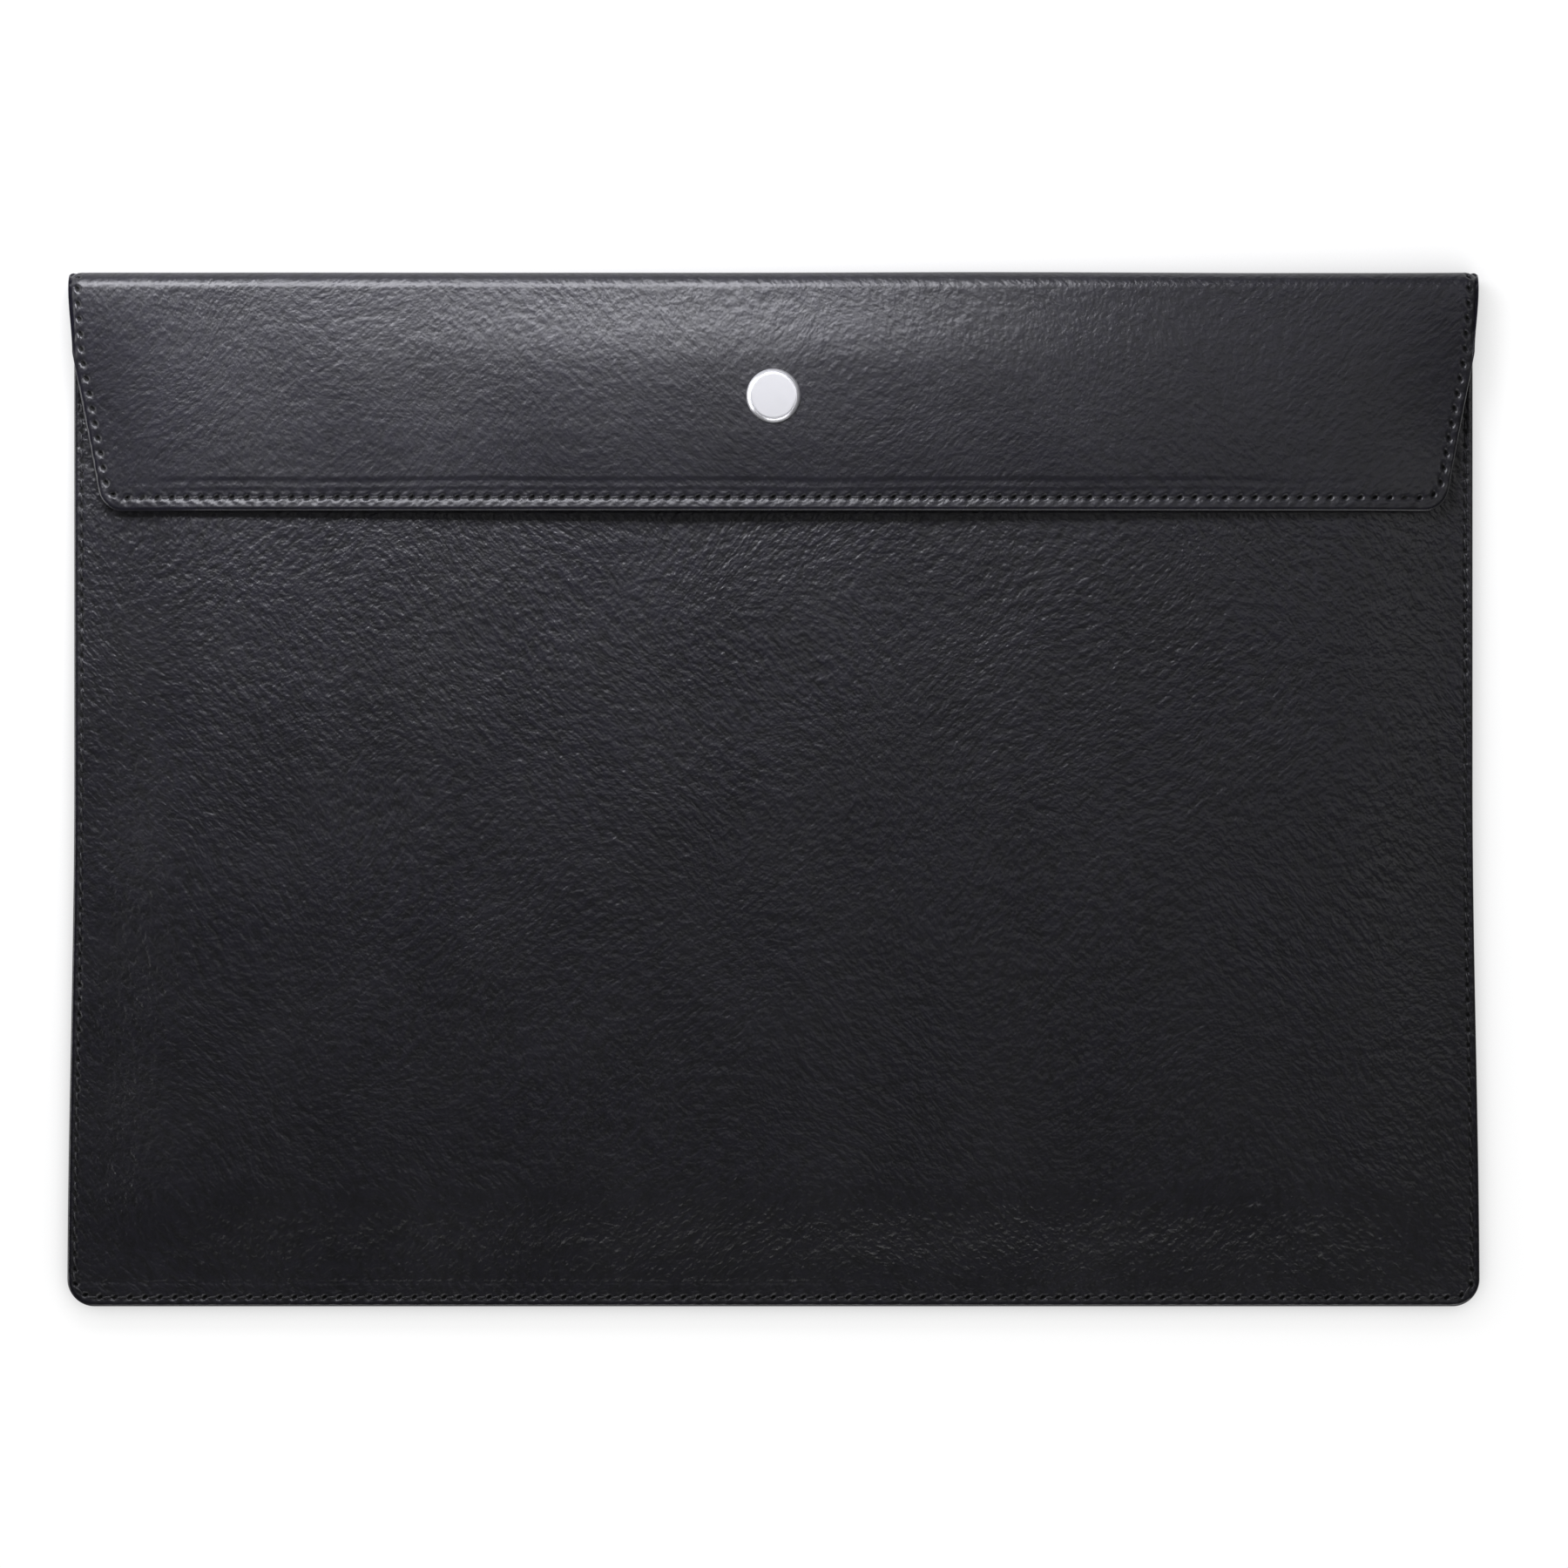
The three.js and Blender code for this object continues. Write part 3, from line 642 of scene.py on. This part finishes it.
def stitch_tree(template, thread):
    """Geometry nodes that lay one stitch on each point of a seam, along it and slightly across it."""
    tree = bpy.data.node_groups.new("stitch_row", "GeometryNodeTree")
    face = tree.interface
    face.new_socket("Geometry", in_out="INPUT", socket_type="NodeSocketGeometry")
    slant = face.new_socket("Slant", in_out="INPUT", socket_type="NodeSocketFloat")
    unevenness = face.new_socket("Unevenness", in_out="INPUT", socket_type="NodeSocketFloat")
    seed = face.new_socket("Seed", in_out="INPUT", socket_type="NodeSocketInt")
    face.new_socket("Geometry", in_out="OUTPUT", socket_type="NodeSocketGeometry")
    slant.default_value = FLAP_THREAD_SLANT
    unevenness.default_value = SLANT_UNEVENNESS
    seed.default_value = STITCH_SEED

    new, link = tree.nodes.new, tree.links.new
    given, result = new("NodeGroupInput"), new("NodeGroupOutput")
    one = new("GeometryNodeObjectInfo")
    one.inputs["Object"].default_value = template
    one.transform_space = "ORIGINAL"

    def socket(sockets, identifier):
        return next(s for s in sockets if s.identifier == identifier)

    def direction(name):
        node = new("GeometryNodeInputNamedAttribute")
        node.data_type = "FLOAT_VECTOR"
        node.inputs["Name"].default_value = name
        return node.outputs["Attribute"]

    along = new("FunctionNodeAlignRotationToVector")
    along.axis = "X"
    link(direction("run"), along.inputs["Vector"])
    up = new("FunctionNodeAlignRotationToVector")
    up.axis, up.pivot_axis = "Z", "X"
    link(along.outputs["Rotation"], up.inputs["Rotation"])
    link(direction("out"), up.inputs["Vector"])

    jitter = new("FunctionNodeRandomValue")
    link(given.outputs["Seed"], jitter.inputs["Seed"])
    low = new("ShaderNodeMath")
    low.operation = "SUBTRACT"
    high = new("ShaderNodeMath")
    high.operation = "ADD"
    for side, limit in ((low, "Min_001"), (high, "Max_001")):
        link(given.outputs["Slant"], side.inputs[0])
        link(given.outputs["Unevenness"], side.inputs[1])
        link(side.outputs[0], socket(jitter.inputs, limit))
    spin = new("FunctionNodeAxisAngleToRotation")
    spin.inputs["Axis"].default_value = (0, 0, 1)
    link(socket(jitter.outputs, "Value_001"), spin.inputs["Angle"])
    turned = new("FunctionNodeRotateRotation")
    turned.rotation_space = "LOCAL"
    link(up.outputs["Rotation"], turned.inputs["Rotation"])
    link(spin.outputs["Rotation"], turned.inputs["Rotate By"])

    place = new("GeometryNodeInstanceOnPoints")
    link(given.outputs["Geometry"], place.inputs["Points"])
    link(one.outputs["Geometry"], place.inputs["Instance"])
    link(turned.outputs["Rotation"], place.inputs["Rotation"])
    real, finish = new("GeometryNodeRealizeInstances"), new("GeometryNodeSetMaterial")
    finish.inputs["Material"].default_value = thread
    link(place.outputs["Instances"], real.inputs["Geometry"])
    link(real.outputs["Geometry"], finish.inputs["Geometry"])
    link(finish.outputs["Geometry"], result.inputs["Geometry"])
    return tree


def stitched(name, seam, surface, tree, slant, facing=1):
    """A row of stitches along a seam, on surface(x, s); a facing of minus one turns them over."""
    centres = (np.arange(seam.count) + 0.5) * seam.pitch / PATH_STEP
    at = centres.astype(int)
    x, s = seam.line[at].T
    step = np.gradient(seam.line, axis=0)[at] / PATH_STEP
    reach = 0.3
    middle = surface(x, s)
    run = surface(x + step[:, 0] * reach, s + step[:, 1] * reach) - middle
    side = surface(x - step[:, 1] * reach, s + step[:, 0] * reach) - middle
    out = facing * np.cross(run, side)
    mesh = bpy.data.meshes.new(name)
    mesh.from_pydata((middle * MM).tolist(), [], [])
    for attribute, values in (("run", run), ("out", out)):
        values = values / np.linalg.norm(values, axis=1, keepdims=True)
        mesh.attributes.new(attribute, "FLOAT_VECTOR", "POINT").data.foreach_set("vector", values.ravel())
    points = bpy.data.objects.new(name + "_points", mesh)
    bpy.context.scene.collection.objects.link(points)
    row = points.modifiers.new("stitch_row", "NODES")
    row.node_group = tree
    sockets = {item.name: item.identifier for item in tree.interface.items_tree if item.in_out == "INPUT"}
    row[sockets["Slant"]] = slant
    row[sockets["Unevenness"]] = SLANT_UNEVENNESS
    row[sockets["Seed"]] = STITCH_SEED
    depsgraph = bpy.context.evaluated_depsgraph_get()
    made = bpy.data.meshes.new_from_object(points.evaluated_get(depsgraph))
    bpy.data.objects.remove(points)
    made.name = name
    piece = bpy.data.objects.new(name, made)
    bpy.context.scene.collection.objects.link(piece)
    return piece


# Turned metal
def turned(name, profile, material, z, sides=96):
    """A turned piece on the snap's axis; the profile's points are (radius, height), from axis to axis."""
    made = bmesh.new()
    rings = []
    for radius, height in profile:
        level = (z + height) * MM
        if radius == 0:
            rings.append([made.verts.new((0, SNAP_Y * MM, level))] * sides)
            continue
        rings.append([
            made.verts.new((radius * math.cos(a) * MM, (SNAP_Y + radius * math.sin(a)) * MM, level))
            for a in (2 * math.pi * k / sides for k in range(sides))
        ])
    for one, two in zip(rings, rings[1:]):
        for k in range(sides):
            corners = [one[k], one[(k + 1) % sides], two[(k + 1) % sides], two[k]]
            made.faces.new(list(dict.fromkeys(corners)))
    bmesh.ops.recalc_face_normals(made, faces=made.faces)
    mesh = bpy.data.meshes.new(name)
    made.to_mesh(mesh)
    made.free()
    sharpened(mesh, 28)
    return linked(name, mesh, material)


def arc(centre, radius, start, end, steps=10):
    angles = np.radians(np.linspace(start, end, steps + 1))
    return [(centre[0] + radius * math.cos(a), centre[1] + radius * math.sin(a)) for a in angles]


# Materials
class Paint:
    """A material's nodes, added by short calls."""

    def __init__(self, name):
        self.material = bpy.data.materials.new(name)
        self.material.use_nodes = True
        self.nodes = self.material.node_tree.nodes
        self.links = self.material.node_tree.links
        self.shader = self.nodes["Principled BSDF"]

    def add(self, kind, _inputs=None, **settings):
        node = self.nodes.new(kind)
        for key, value in settings.items():
            setattr(node, key, value)
        for key, value in (_inputs or {}).items():
            self.feed(node.inputs[key], value)
        return node

    def feed(self, socket, value):
        if isinstance(value, bpy.types.NodeSocket):
            self.links.new(value, socket)
        elif isinstance(value, bpy.types.Node):
            self.links.new(value.outputs[0], socket)
        else:
            socket.default_value = value

    def math(self, operation, *values):
        node = self.add("ShaderNodeMath", operation=operation)
        for socket, value in zip(node.inputs, values):
            self.feed(socket, value)
        return node.outputs[0]

    def vector(self, operation, *values):
        node = self.add("ShaderNodeVectorMath", operation=operation)
        for n, value in enumerate(values):
            self.feed(node.inputs["Scale"] if operation == "SCALE" and n == 1 else node.inputs[n], value)
        return node.outputs[1] if operation == "LENGTH" else node.outputs[0]

    def remap(self, value, low, high, to_low=0.0, to_high=1.0, smooth=False):
        node = self.add("ShaderNodeMapRange", interpolation_type="SMOOTHSTEP" if smooth else "LINEAR")
        for name, amount in zip(("Value", "From Min", "From Max", "To Min", "To Max"),
                                (value, low, high, to_low, to_high)):
            self.feed(node.inputs[name], amount)
        return node.outputs[0]

    def noise(self, vector, scale, detail=3.0, roughness=0.5, colour=False):
        inputs = {"Vector": vector, "Scale": scale, "Detail": detail, "Roughness": roughness}
        node = self.add("ShaderNodeTexNoise", inputs)
        return node.outputs["Color" if colour else "Fac"]

    def blend(self, share, one, two):
        node = self.add("ShaderNodeMix", {"Factor": share})
        self.feed(node.inputs[2], one)
        self.feed(node.inputs[3], two)
        return node.outputs[0]

    def mixed(self, share, one, two):
        node = self.add("ShaderNodeMix", data_type="RGBA")
        self.feed(node.inputs["Factor"], share)
        self.feed(node.inputs[6], one)
        self.feed(node.inputs[7], two)
        return node.outputs[2]

    def relief(self, height, strength, distance=0.0001):
        inputs = {"Height": height, "Strength": strength, "Distance": distance}
        return self.add("ShaderNodeBump", inputs)

    def set(self, **inputs):
        for key, value in inputs.items():
            self.feed(self.shader.inputs[key.replace("_", " ")], value)


WRINKLE_LEANS = (math.radians(46), math.radians(-48))
WRINKLE_STRETCH = 2.4


def black_leather(name, grain_depth, valley_shade):
    """Black hide: soft pebbled grain drawn out into slanting wrinkles with painted shade in their valleys,
    needle holes painted dark as shade, burnished edges.
    """
    p = Paint(name)
    flat = p.add("ShaderNodeUVMap", uv_map="hide").outputs[0]
    drift = p.vector("SUBTRACT", p.noise(flat, 14, 2, colour=True), (0.5, 0.5, 0.5))
    warped = p.vector("ADD", flat, p.vector("SCALE", drift, 0.02))
    leaning = []
    for lean in WRINKLE_LEANS:
        placing = {"Vector": warped, "Rotation": (0, 0, lean), "Scale": (WRINKLE_STRETCH, 1, 1)}
        stretched = p.add("ShaderNodeMapping", placing, vector_type="TEXTURE")
        leaning.append(p.noise(stretched, 720, 1.5))
    side = p.remap(p.noise(flat, 9, 1), 0.44, 0.56, 0.0, 1.0, smooth=True)
    wrinkles = p.blend(side, *leaning)
    pebbles = p.noise(warped, 900, 1)
    swells = p.noise(flat, 300, 1)

    seam = p.add("ShaderNodeSeparateXYZ", {"Vector": p.add("ShaderNodeUVMap", uv_map="seam").outputs[0]})
    to_hole = p.math("SUBTRACT", p.math("FRACT", p.math("ADD", seam.outputs[0], 0.5)), 0.5)
    along = p.math("MULTIPLY", to_hole, STITCH_PITCH)
    offset = p.add("ShaderNodeCombineXYZ", {"X": along, "Y": seam.outputs[1]})
    turned_offset = p.add("ShaderNodeMapping", {"Vector": offset, "Rotation": (0, 0, HOLE_SLANT)})
    shape = p.vector("MULTIPLY", turned_offset.outputs[0], (1 / HOLE_LENGTH, 1 / HOLE_WIDTH, 0))
    # Mask of the needle holes: it paints them near black as painted shade and makes them rougher.
    hole = p.remap(p.vector("LENGTH", shape), 0.8, 1.3, 1.0, 0.0, smooth=True)
    rim = p.add("ShaderNodeSeparateXYZ", {"Vector": p.add("ShaderNodeUVMap", uv_map="rim").outputs[0]})
    burnish = p.remap(rim.outputs[0], 0.5, 1.2, 1.0, 0.0, smooth=True)

    height = p.math("ADD", p.math("MULTIPLY", pebbles, 0.8), wrinkles)
    height = p.math("ADD", height, p.math("MULTIPLY", swells, 0.9))
    grip = p.remap(burnish, 0.0, 1.0, 1.0, 0.25)
    grain = p.relief(height, grip, grain_depth)

    tone = p.remap(p.noise(flat, 30, 3), 0.3, 0.7, 0.0, 1.0)
    colour = p.mixed(tone, (0.0046, 0.0042, 0.0074, 1), (0.0062, 0.0057, 0.0104, 1))
    # Painted shade: the base colour darkens towards near black in the wrinkles' valleys.
    colour = p.mixed(p.remap(wrinkles, 0.35, 0.6, valley_shade, 0.0), colour, (0.002, 0.002, 0.003, 1))
    # Painted shade: the needle holes are coloured near black, as if their depth shaded them.
    colour = p.mixed(hole, colour, (0.001, 0.001, 0.001, 1))
    rough = p.remap(p.noise(flat, 45, 3), 0.3, 0.7, 0.39, 0.45)
    rough = p.math("ADD", rough, p.math("MULTIPLY", hole, 0.6))
    rough = p.math("SUBTRACT", rough, p.math("MULTIPLY", burnish, 0.15))
    p.set(Base_Color=colour, Roughness=rough, Specular_IOR_Level=0.5, Normal=grain)
    return p.material


def dark_thread():
    """Waxed two-ply thread."""
    p = Paint("dark_thread")
    place = p.add("ShaderNodeTexCoord").outputs["Object"]
    fibres = p.noise(place, 2600, 3)
    colour = p.mixed(fibres, (0.004, 0.004, 0.005, 1), (0.014, 0.0135, 0.017, 1))
    p.set(Base_Color=colour, Roughness=0.5, Normal=p.relief(fibres, 0.5))
    return p.material


YARN_PITCH = 0.0007


def lining_cloth():
    """Fine black cloth."""
    p = Paint("lining_cloth")
    flat = p.add("ShaderNodeUVMap", uv_map="cloth").outputs[0]
    place = p.add("ShaderNodeSeparateXYZ", {"Vector": flat})
    wave = 2 * math.pi / YARN_PITCH
    warp = p.math("SINE", p.math("MULTIPLY", place.outputs[0], wave))
    weft = p.math("SINE", p.math("MULTIPLY", place.outputs[1], wave))
    diagonal = p.math("SINE", p.math("MULTIPLY", p.math("ADD", place.outputs[0], place.outputs[1]), wave / 2))
    weave = p.math("ADD", p.math("MULTIPLY", warp, weft), p.math("MULTIPLY", diagonal, 0.6))
    slub = p.noise(flat, 700, 3)
    height = p.math("ADD", weave, slub)
    colour = p.mixed(p.remap(height, -1.2, 2.4), (0.008, 0.008, 0.009, 1), (0.03, 0.029, 0.033, 1))
    p.set(Base_Color=colour, Roughness=0.92, Sheen_Weight=0.25, Sheen_Roughness=0.4,
          Normal=p.relief(height, 0.5))
    return p.material


def satin_nickel():
    p = Paint("satin_nickel")
    place = p.add("ShaderNodeTexCoord").outputs["Object"]
    haze = p.noise(place, 400, 2)
    colour = p.mixed(haze, (0.84, 0.84, 0.87, 1), (0.88, 0.88, 0.91, 1))
    p.set(Base_Color=colour, Metallic=0.92, Roughness=0.3)
    return p.material


def spring_steel():
    p = Paint("spring_steel")
    place = p.add("ShaderNodeTexCoord").outputs["Object"]
    drawn = p.noise(place, 2400, 2)
    p.set(Base_Color=(0.5, 0.5, 0.52, 1), Metallic=1.0, Roughness=p.remap(drawn, 0.3, 0.7, 0.25, 0.4))
    return p.material


def fibreboard():
    p = Paint("fibreboard")
    place = p.add("ShaderNodeTexCoord").outputs["Object"]
    flecks = p.noise(place, 900, 4, 0.65)
    colour = p.mixed(flecks, (0.2, 0.17, 0.14, 1), (0.34, 0.31, 0.26, 1))
    p.set(Base_Color=colour, Roughness=0.9, Normal=p.relief(flecks, 0.4))
    return p.material


# The setting, in metres
CAMERA_HEIGHT = 1.6
FRAMED_Z = 0.003
FRAME_WIDTH = 0.372
VIEW_CENTRE = (0.0025, 0.0014)
SENSOR = 36.0
FLOOR_HALF = 3.0
FLOOR_GLOW = 0.94
SHADED_GLOW = 0.3
CONTACT_SHADOW = 0.012
ROOM_ZENITH = 0.065
ROOM_HORIZON = 0.25


def make_camera():
    camera = bpy.data.cameras.new("camera")
    camera.sensor_width = SENSOR
    camera.lens = SENSOR * (CAMERA_HEIGHT - FRAMED_Z) / FRAME_WIDTH
    viewer = bpy.data.objects.new("camera", camera)
    viewer.location = (*VIEW_CENTRE, CAMERA_HEIGHT)
    bpy.context.scene.collection.objects.link(viewer)
    bpy.context.scene.camera = viewer


def softbox(name, place, target, size, radiance, colour=(1, 1, 1)):
    lamp = bpy.data.lights.new(name, "AREA")
    lamp.shape = "RECTANGLE"
    lamp.size, lamp.size_y = size
    lamp.energy = radiance * math.pi * size[0] * size[1]
    lamp.color = colour
    light = bpy.data.objects.new(name, lamp)
    light.location = place
    light.rotation_euler = (Vector(target) - Vector(place)).to_track_quat("-Z", "Y").to_euler()
    light.visible_camera = False
    bpy.context.scene.collection.objects.link(light)


def make_floor():
    """A floor that glows for the camera and in mirrors and glass, with a painted contact shadow: the glow
    dims close to the folder.
    """
    corners = [(x * FLOOR_HALF, y * FLOOR_HALF, 0) for x, y in ((-1, -1), (1, -1), (1, 1), (-1, 1))]
    mesh = bpy.data.meshes.new("table")
    mesh.from_pydata(corners, [], [(0, 1, 2, 3)])
    p = Paint("pale_table")
    path = p.add("ShaderNodeLightPath").outputs
    seen = p.math("ADD", path["Is Camera Ray"], path["Is Glossy Ray"])
    seen = p.math("MINIMUM", p.math("ADD", seen, path["Is Transmission Ray"]), 1.0)
    # Painted contact shadow: ambient occlusion dims the floor's glow near the folder.
    openness = p.add("ShaderNodeAmbientOcclusion", {"Distance": CONTACT_SHADOW}, samples=8).outputs["AO"]
    glow = p.math("MULTIPLY", seen, p.remap(openness, 0.0, 1.0, SHADED_GLOW, FLOOR_GLOW))
    p.set(Base_Color=(0.12, 0.12, 0.12, 1), Roughness=1.0, Specular_IOR_Level=0.0,
          Emission_Color=(1, 1, 1, 1), Emission_Strength=glow)
    linked("table", mesh, p.material)


def make_world():
    """White where the camera looks past the floor; elsewhere a dim room, paler towards the horizon."""
    world = bpy.data.worlds.new("studio")
    world.use_nodes = True
    nodes, links = world.node_tree.nodes, world.node_tree.links
    path = nodes.new("ShaderNodeLightPath")
    place = nodes.new("ShaderNodeTexCoord")
    parts = nodes.new("ShaderNodeSeparateXYZ")
    links.new(place.outputs["Generated"], parts.inputs[0])
    room = nodes.new("ShaderNodeMapRange")
    limits = {"From Min": 0.0, "From Max": 0.7, "To Min": ROOM_HORIZON, "To Max": ROOM_ZENITH}
    for name, value in limits.items():
        room.inputs[name].default_value = value
    links.new(parts.outputs["Z"], room.inputs["Value"])
    strength = nodes.new("ShaderNodeMapRange")
    strength.inputs["To Max"].default_value = 1.0
    links.new(room.outputs[0], strength.inputs["To Min"])
    links.new(path.outputs["Is Camera Ray"], strength.inputs["Value"])
    background = nodes["Background"]
    background.inputs["Color"].default_value = (1, 1, 1, 1)
    links.new(strength.outputs[0], background.inputs["Strength"])
    bpy.context.scene.world = world


def make_setting():
    bpy.context.scene.view_settings.view_transform = "Standard"
    make_camera()
    make_floor()
    make_world()
    softbox("strip_lamp", (-0.123, 0.279, 0.22), (-0.124, 0.3, 0.0), (0.337, 0.149), 23.4, (0.94, 0.94, 1.0))
    softbox("overhead_box", (0.36, 0.287, 1.6), (0.36, 0.287, 0.0), (0.97, 0.2), 1.95)
    softbox("front_box", (0.22, -0.78, 0.36), (0.17, 0.05, 0), (1.0, 0.25), 3.6)
    softbox("left_box", (-0.72, 0.2, 0.15), (-0.15, 0.18, 0), (1.1, 0.26), 3.7)
    softbox("right_box", (0.75, 0.3, 0.79), (0.13, 0.08, 0), (0.5, 0.5), 1.4)


def make_body(leather, front_hide, cloth, stitch_nodes):
    """The back with the lower half of the fold, the front, their linings and the seam round them."""
    back_edge = outline(wrap_half, SPINE_MIDDLE, 0.0, BOTTOM_CORNER)
    back_seam = Seam(back_edge, BODY_SIDE_SEAM, BODY_BOTTOM_SEAM, 0.0)
    back = make_back_leather(leather, back_seam)
    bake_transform(back)
    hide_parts("back_panel", "fold_leather")

    front_edge = outline(body_half, MOUTH_Y, -HALF_HEIGHT, BOTTOM_CORNER)
    front_seam = Seam(front_edge, BODY_SIDE_SEAM, BODY_BOTTOM_SEAM, -HALF_HEIGHT)
    front = make_front_leather(front_hide, front_seam)
    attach(front, "folder")
    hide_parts("front_panel")

    lining = make_wrap_lining("back_lining_cloth", cloth, LINING_MARGIN, SPINE_MIDDLE, False)
    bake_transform(lining)
    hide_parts("back_lining", "fold_lining")

    inside = make_front_lining(cloth)
    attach(inside, "folder")
    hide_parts("front_lining")

    def front_surface(x, y):
        return stack(x, y, front_face(x, y) - FRONT_THREAD_DEPTH)

    def back_surface(x, s):
        return wrap_points(x, s, THREAD_DEPTH, False)

    front_row = stitched("front_stitches", front_seam, front_surface, stitch_nodes, BODY_THREAD_SLANT)
    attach(front_row, "folder")
    back_row = stitched("back_stitches", back_seam, back_surface, stitch_nodes, BODY_THREAD_SLANT, -1)
    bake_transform(back_row)


def make_flap(leather, cloth, stitch_nodes):
    """The flap with the upper half of the fold, its lining and its two rows of stitches."""
    edge = outline(wrap_half, SPINE_MIDDLE, WRAP_END, FLAP_CORNER)
    seam = Seam(edge, FLAP_SIDE_SEAM, FLAP_EDGE_SEAM, WRAP_END)
    flap = make_flap_leather(leather, seam)
    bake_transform(flap)
    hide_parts("flap_panel", "flap_filler")

    lining = make_wrap_lining("flap_lining_cloth", cloth, SPINE_MIDDLE, WRAP_END - LINING_MARGIN, True)
    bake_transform(lining)
    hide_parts("flap_lining")

    def outside(x, s):
        return wrap_points(x, s, THREAD_DEPTH, True)

    def underside(x, s):
        return wrap_points(x, s, LINING_DEPTH + LINING, True)

    row = stitched("flap_stitches", seam, outside, stitch_nodes, FLAP_THREAD_SLANT, -1)
    under_row = stitched("flap_under_stitches", seam, underside, stitch_nodes, FLAP_THREAD_SLANT)
    for piece in (row, under_row):
        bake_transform(piece)


def make_snap(nickel):
    """The cap: pressed sheet with a flat face, a rounded wall and a rolled lip."""
    radius = (CAP_HIGH[0] - CAP_LOW[0]) / 2
    base, top = CAP_LOW[2], CAP_HIGH[2]
    height = top - base
    wall, face, rounding = 0.3, 5.45, 2.64
    rim_low = (radius - 0.02, 0.15)
    slope = math.radians(28)
    centre = (rim_low[0] - rounding * math.cos(slope), rim_low[1] - rounding * math.sin(slope))
    profile = [
        (0, height - wall),
        (face - 0.4, height - wall),
        (radius - wall - 0.15, 0.5),
        (radius - 0.6, 0.25),
        (radius - 1, 0.25),
        (radius - 1, 0),
        (radius - 0.15, 0),
        (radius, 0.06),
        *arc(centre, rounding, 28, 54),
        (face + 0.08, height - 0.16),
        *arc((face - 0.16, height - 0.16), 0.16, 0, 90, 5),
        (face - 0.5, height),
        (0, height),
    ]
    cap = turned("snap_cap_shell", profile, nickel, base)
    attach(cap, "flap")
    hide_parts("snap_cap")


def dress_nodes(materials):
    for node, material in materials.items():
        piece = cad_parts[node]
        piece.data.materials.clear()
        piece.data.materials.append(material)


make_setting()
# The last number is how strongly painted shade darkens the wrinkles' valleys.
leather = black_leather("smooth_hide", 0.00015, 0.6)
front_hide = black_leather("grained_hide", 0.00028, 0.9)
thread, cloth, nickel = dark_thread(), lining_cloth(), satin_nickel()
template = stitch_template("stitch", STITCH_LENGTH * MM, THREAD_RADIUS * MM)
stitch_nodes = stitch_tree(template, thread)
make_body(leather, front_hide, cloth, stitch_nodes)
make_flap(leather, cloth, stitch_nodes)
make_snap(nickel)
dress_nodes({
    "back_board": fibreboard(),
    "snap_stud": nickel,
    "snap_post": nickel,
    "snap_cap_post": nickel,
    "snap_socket": nickel,
    "snap_spring": spring_steel(),
})
bpy.data.objects.remove(template)
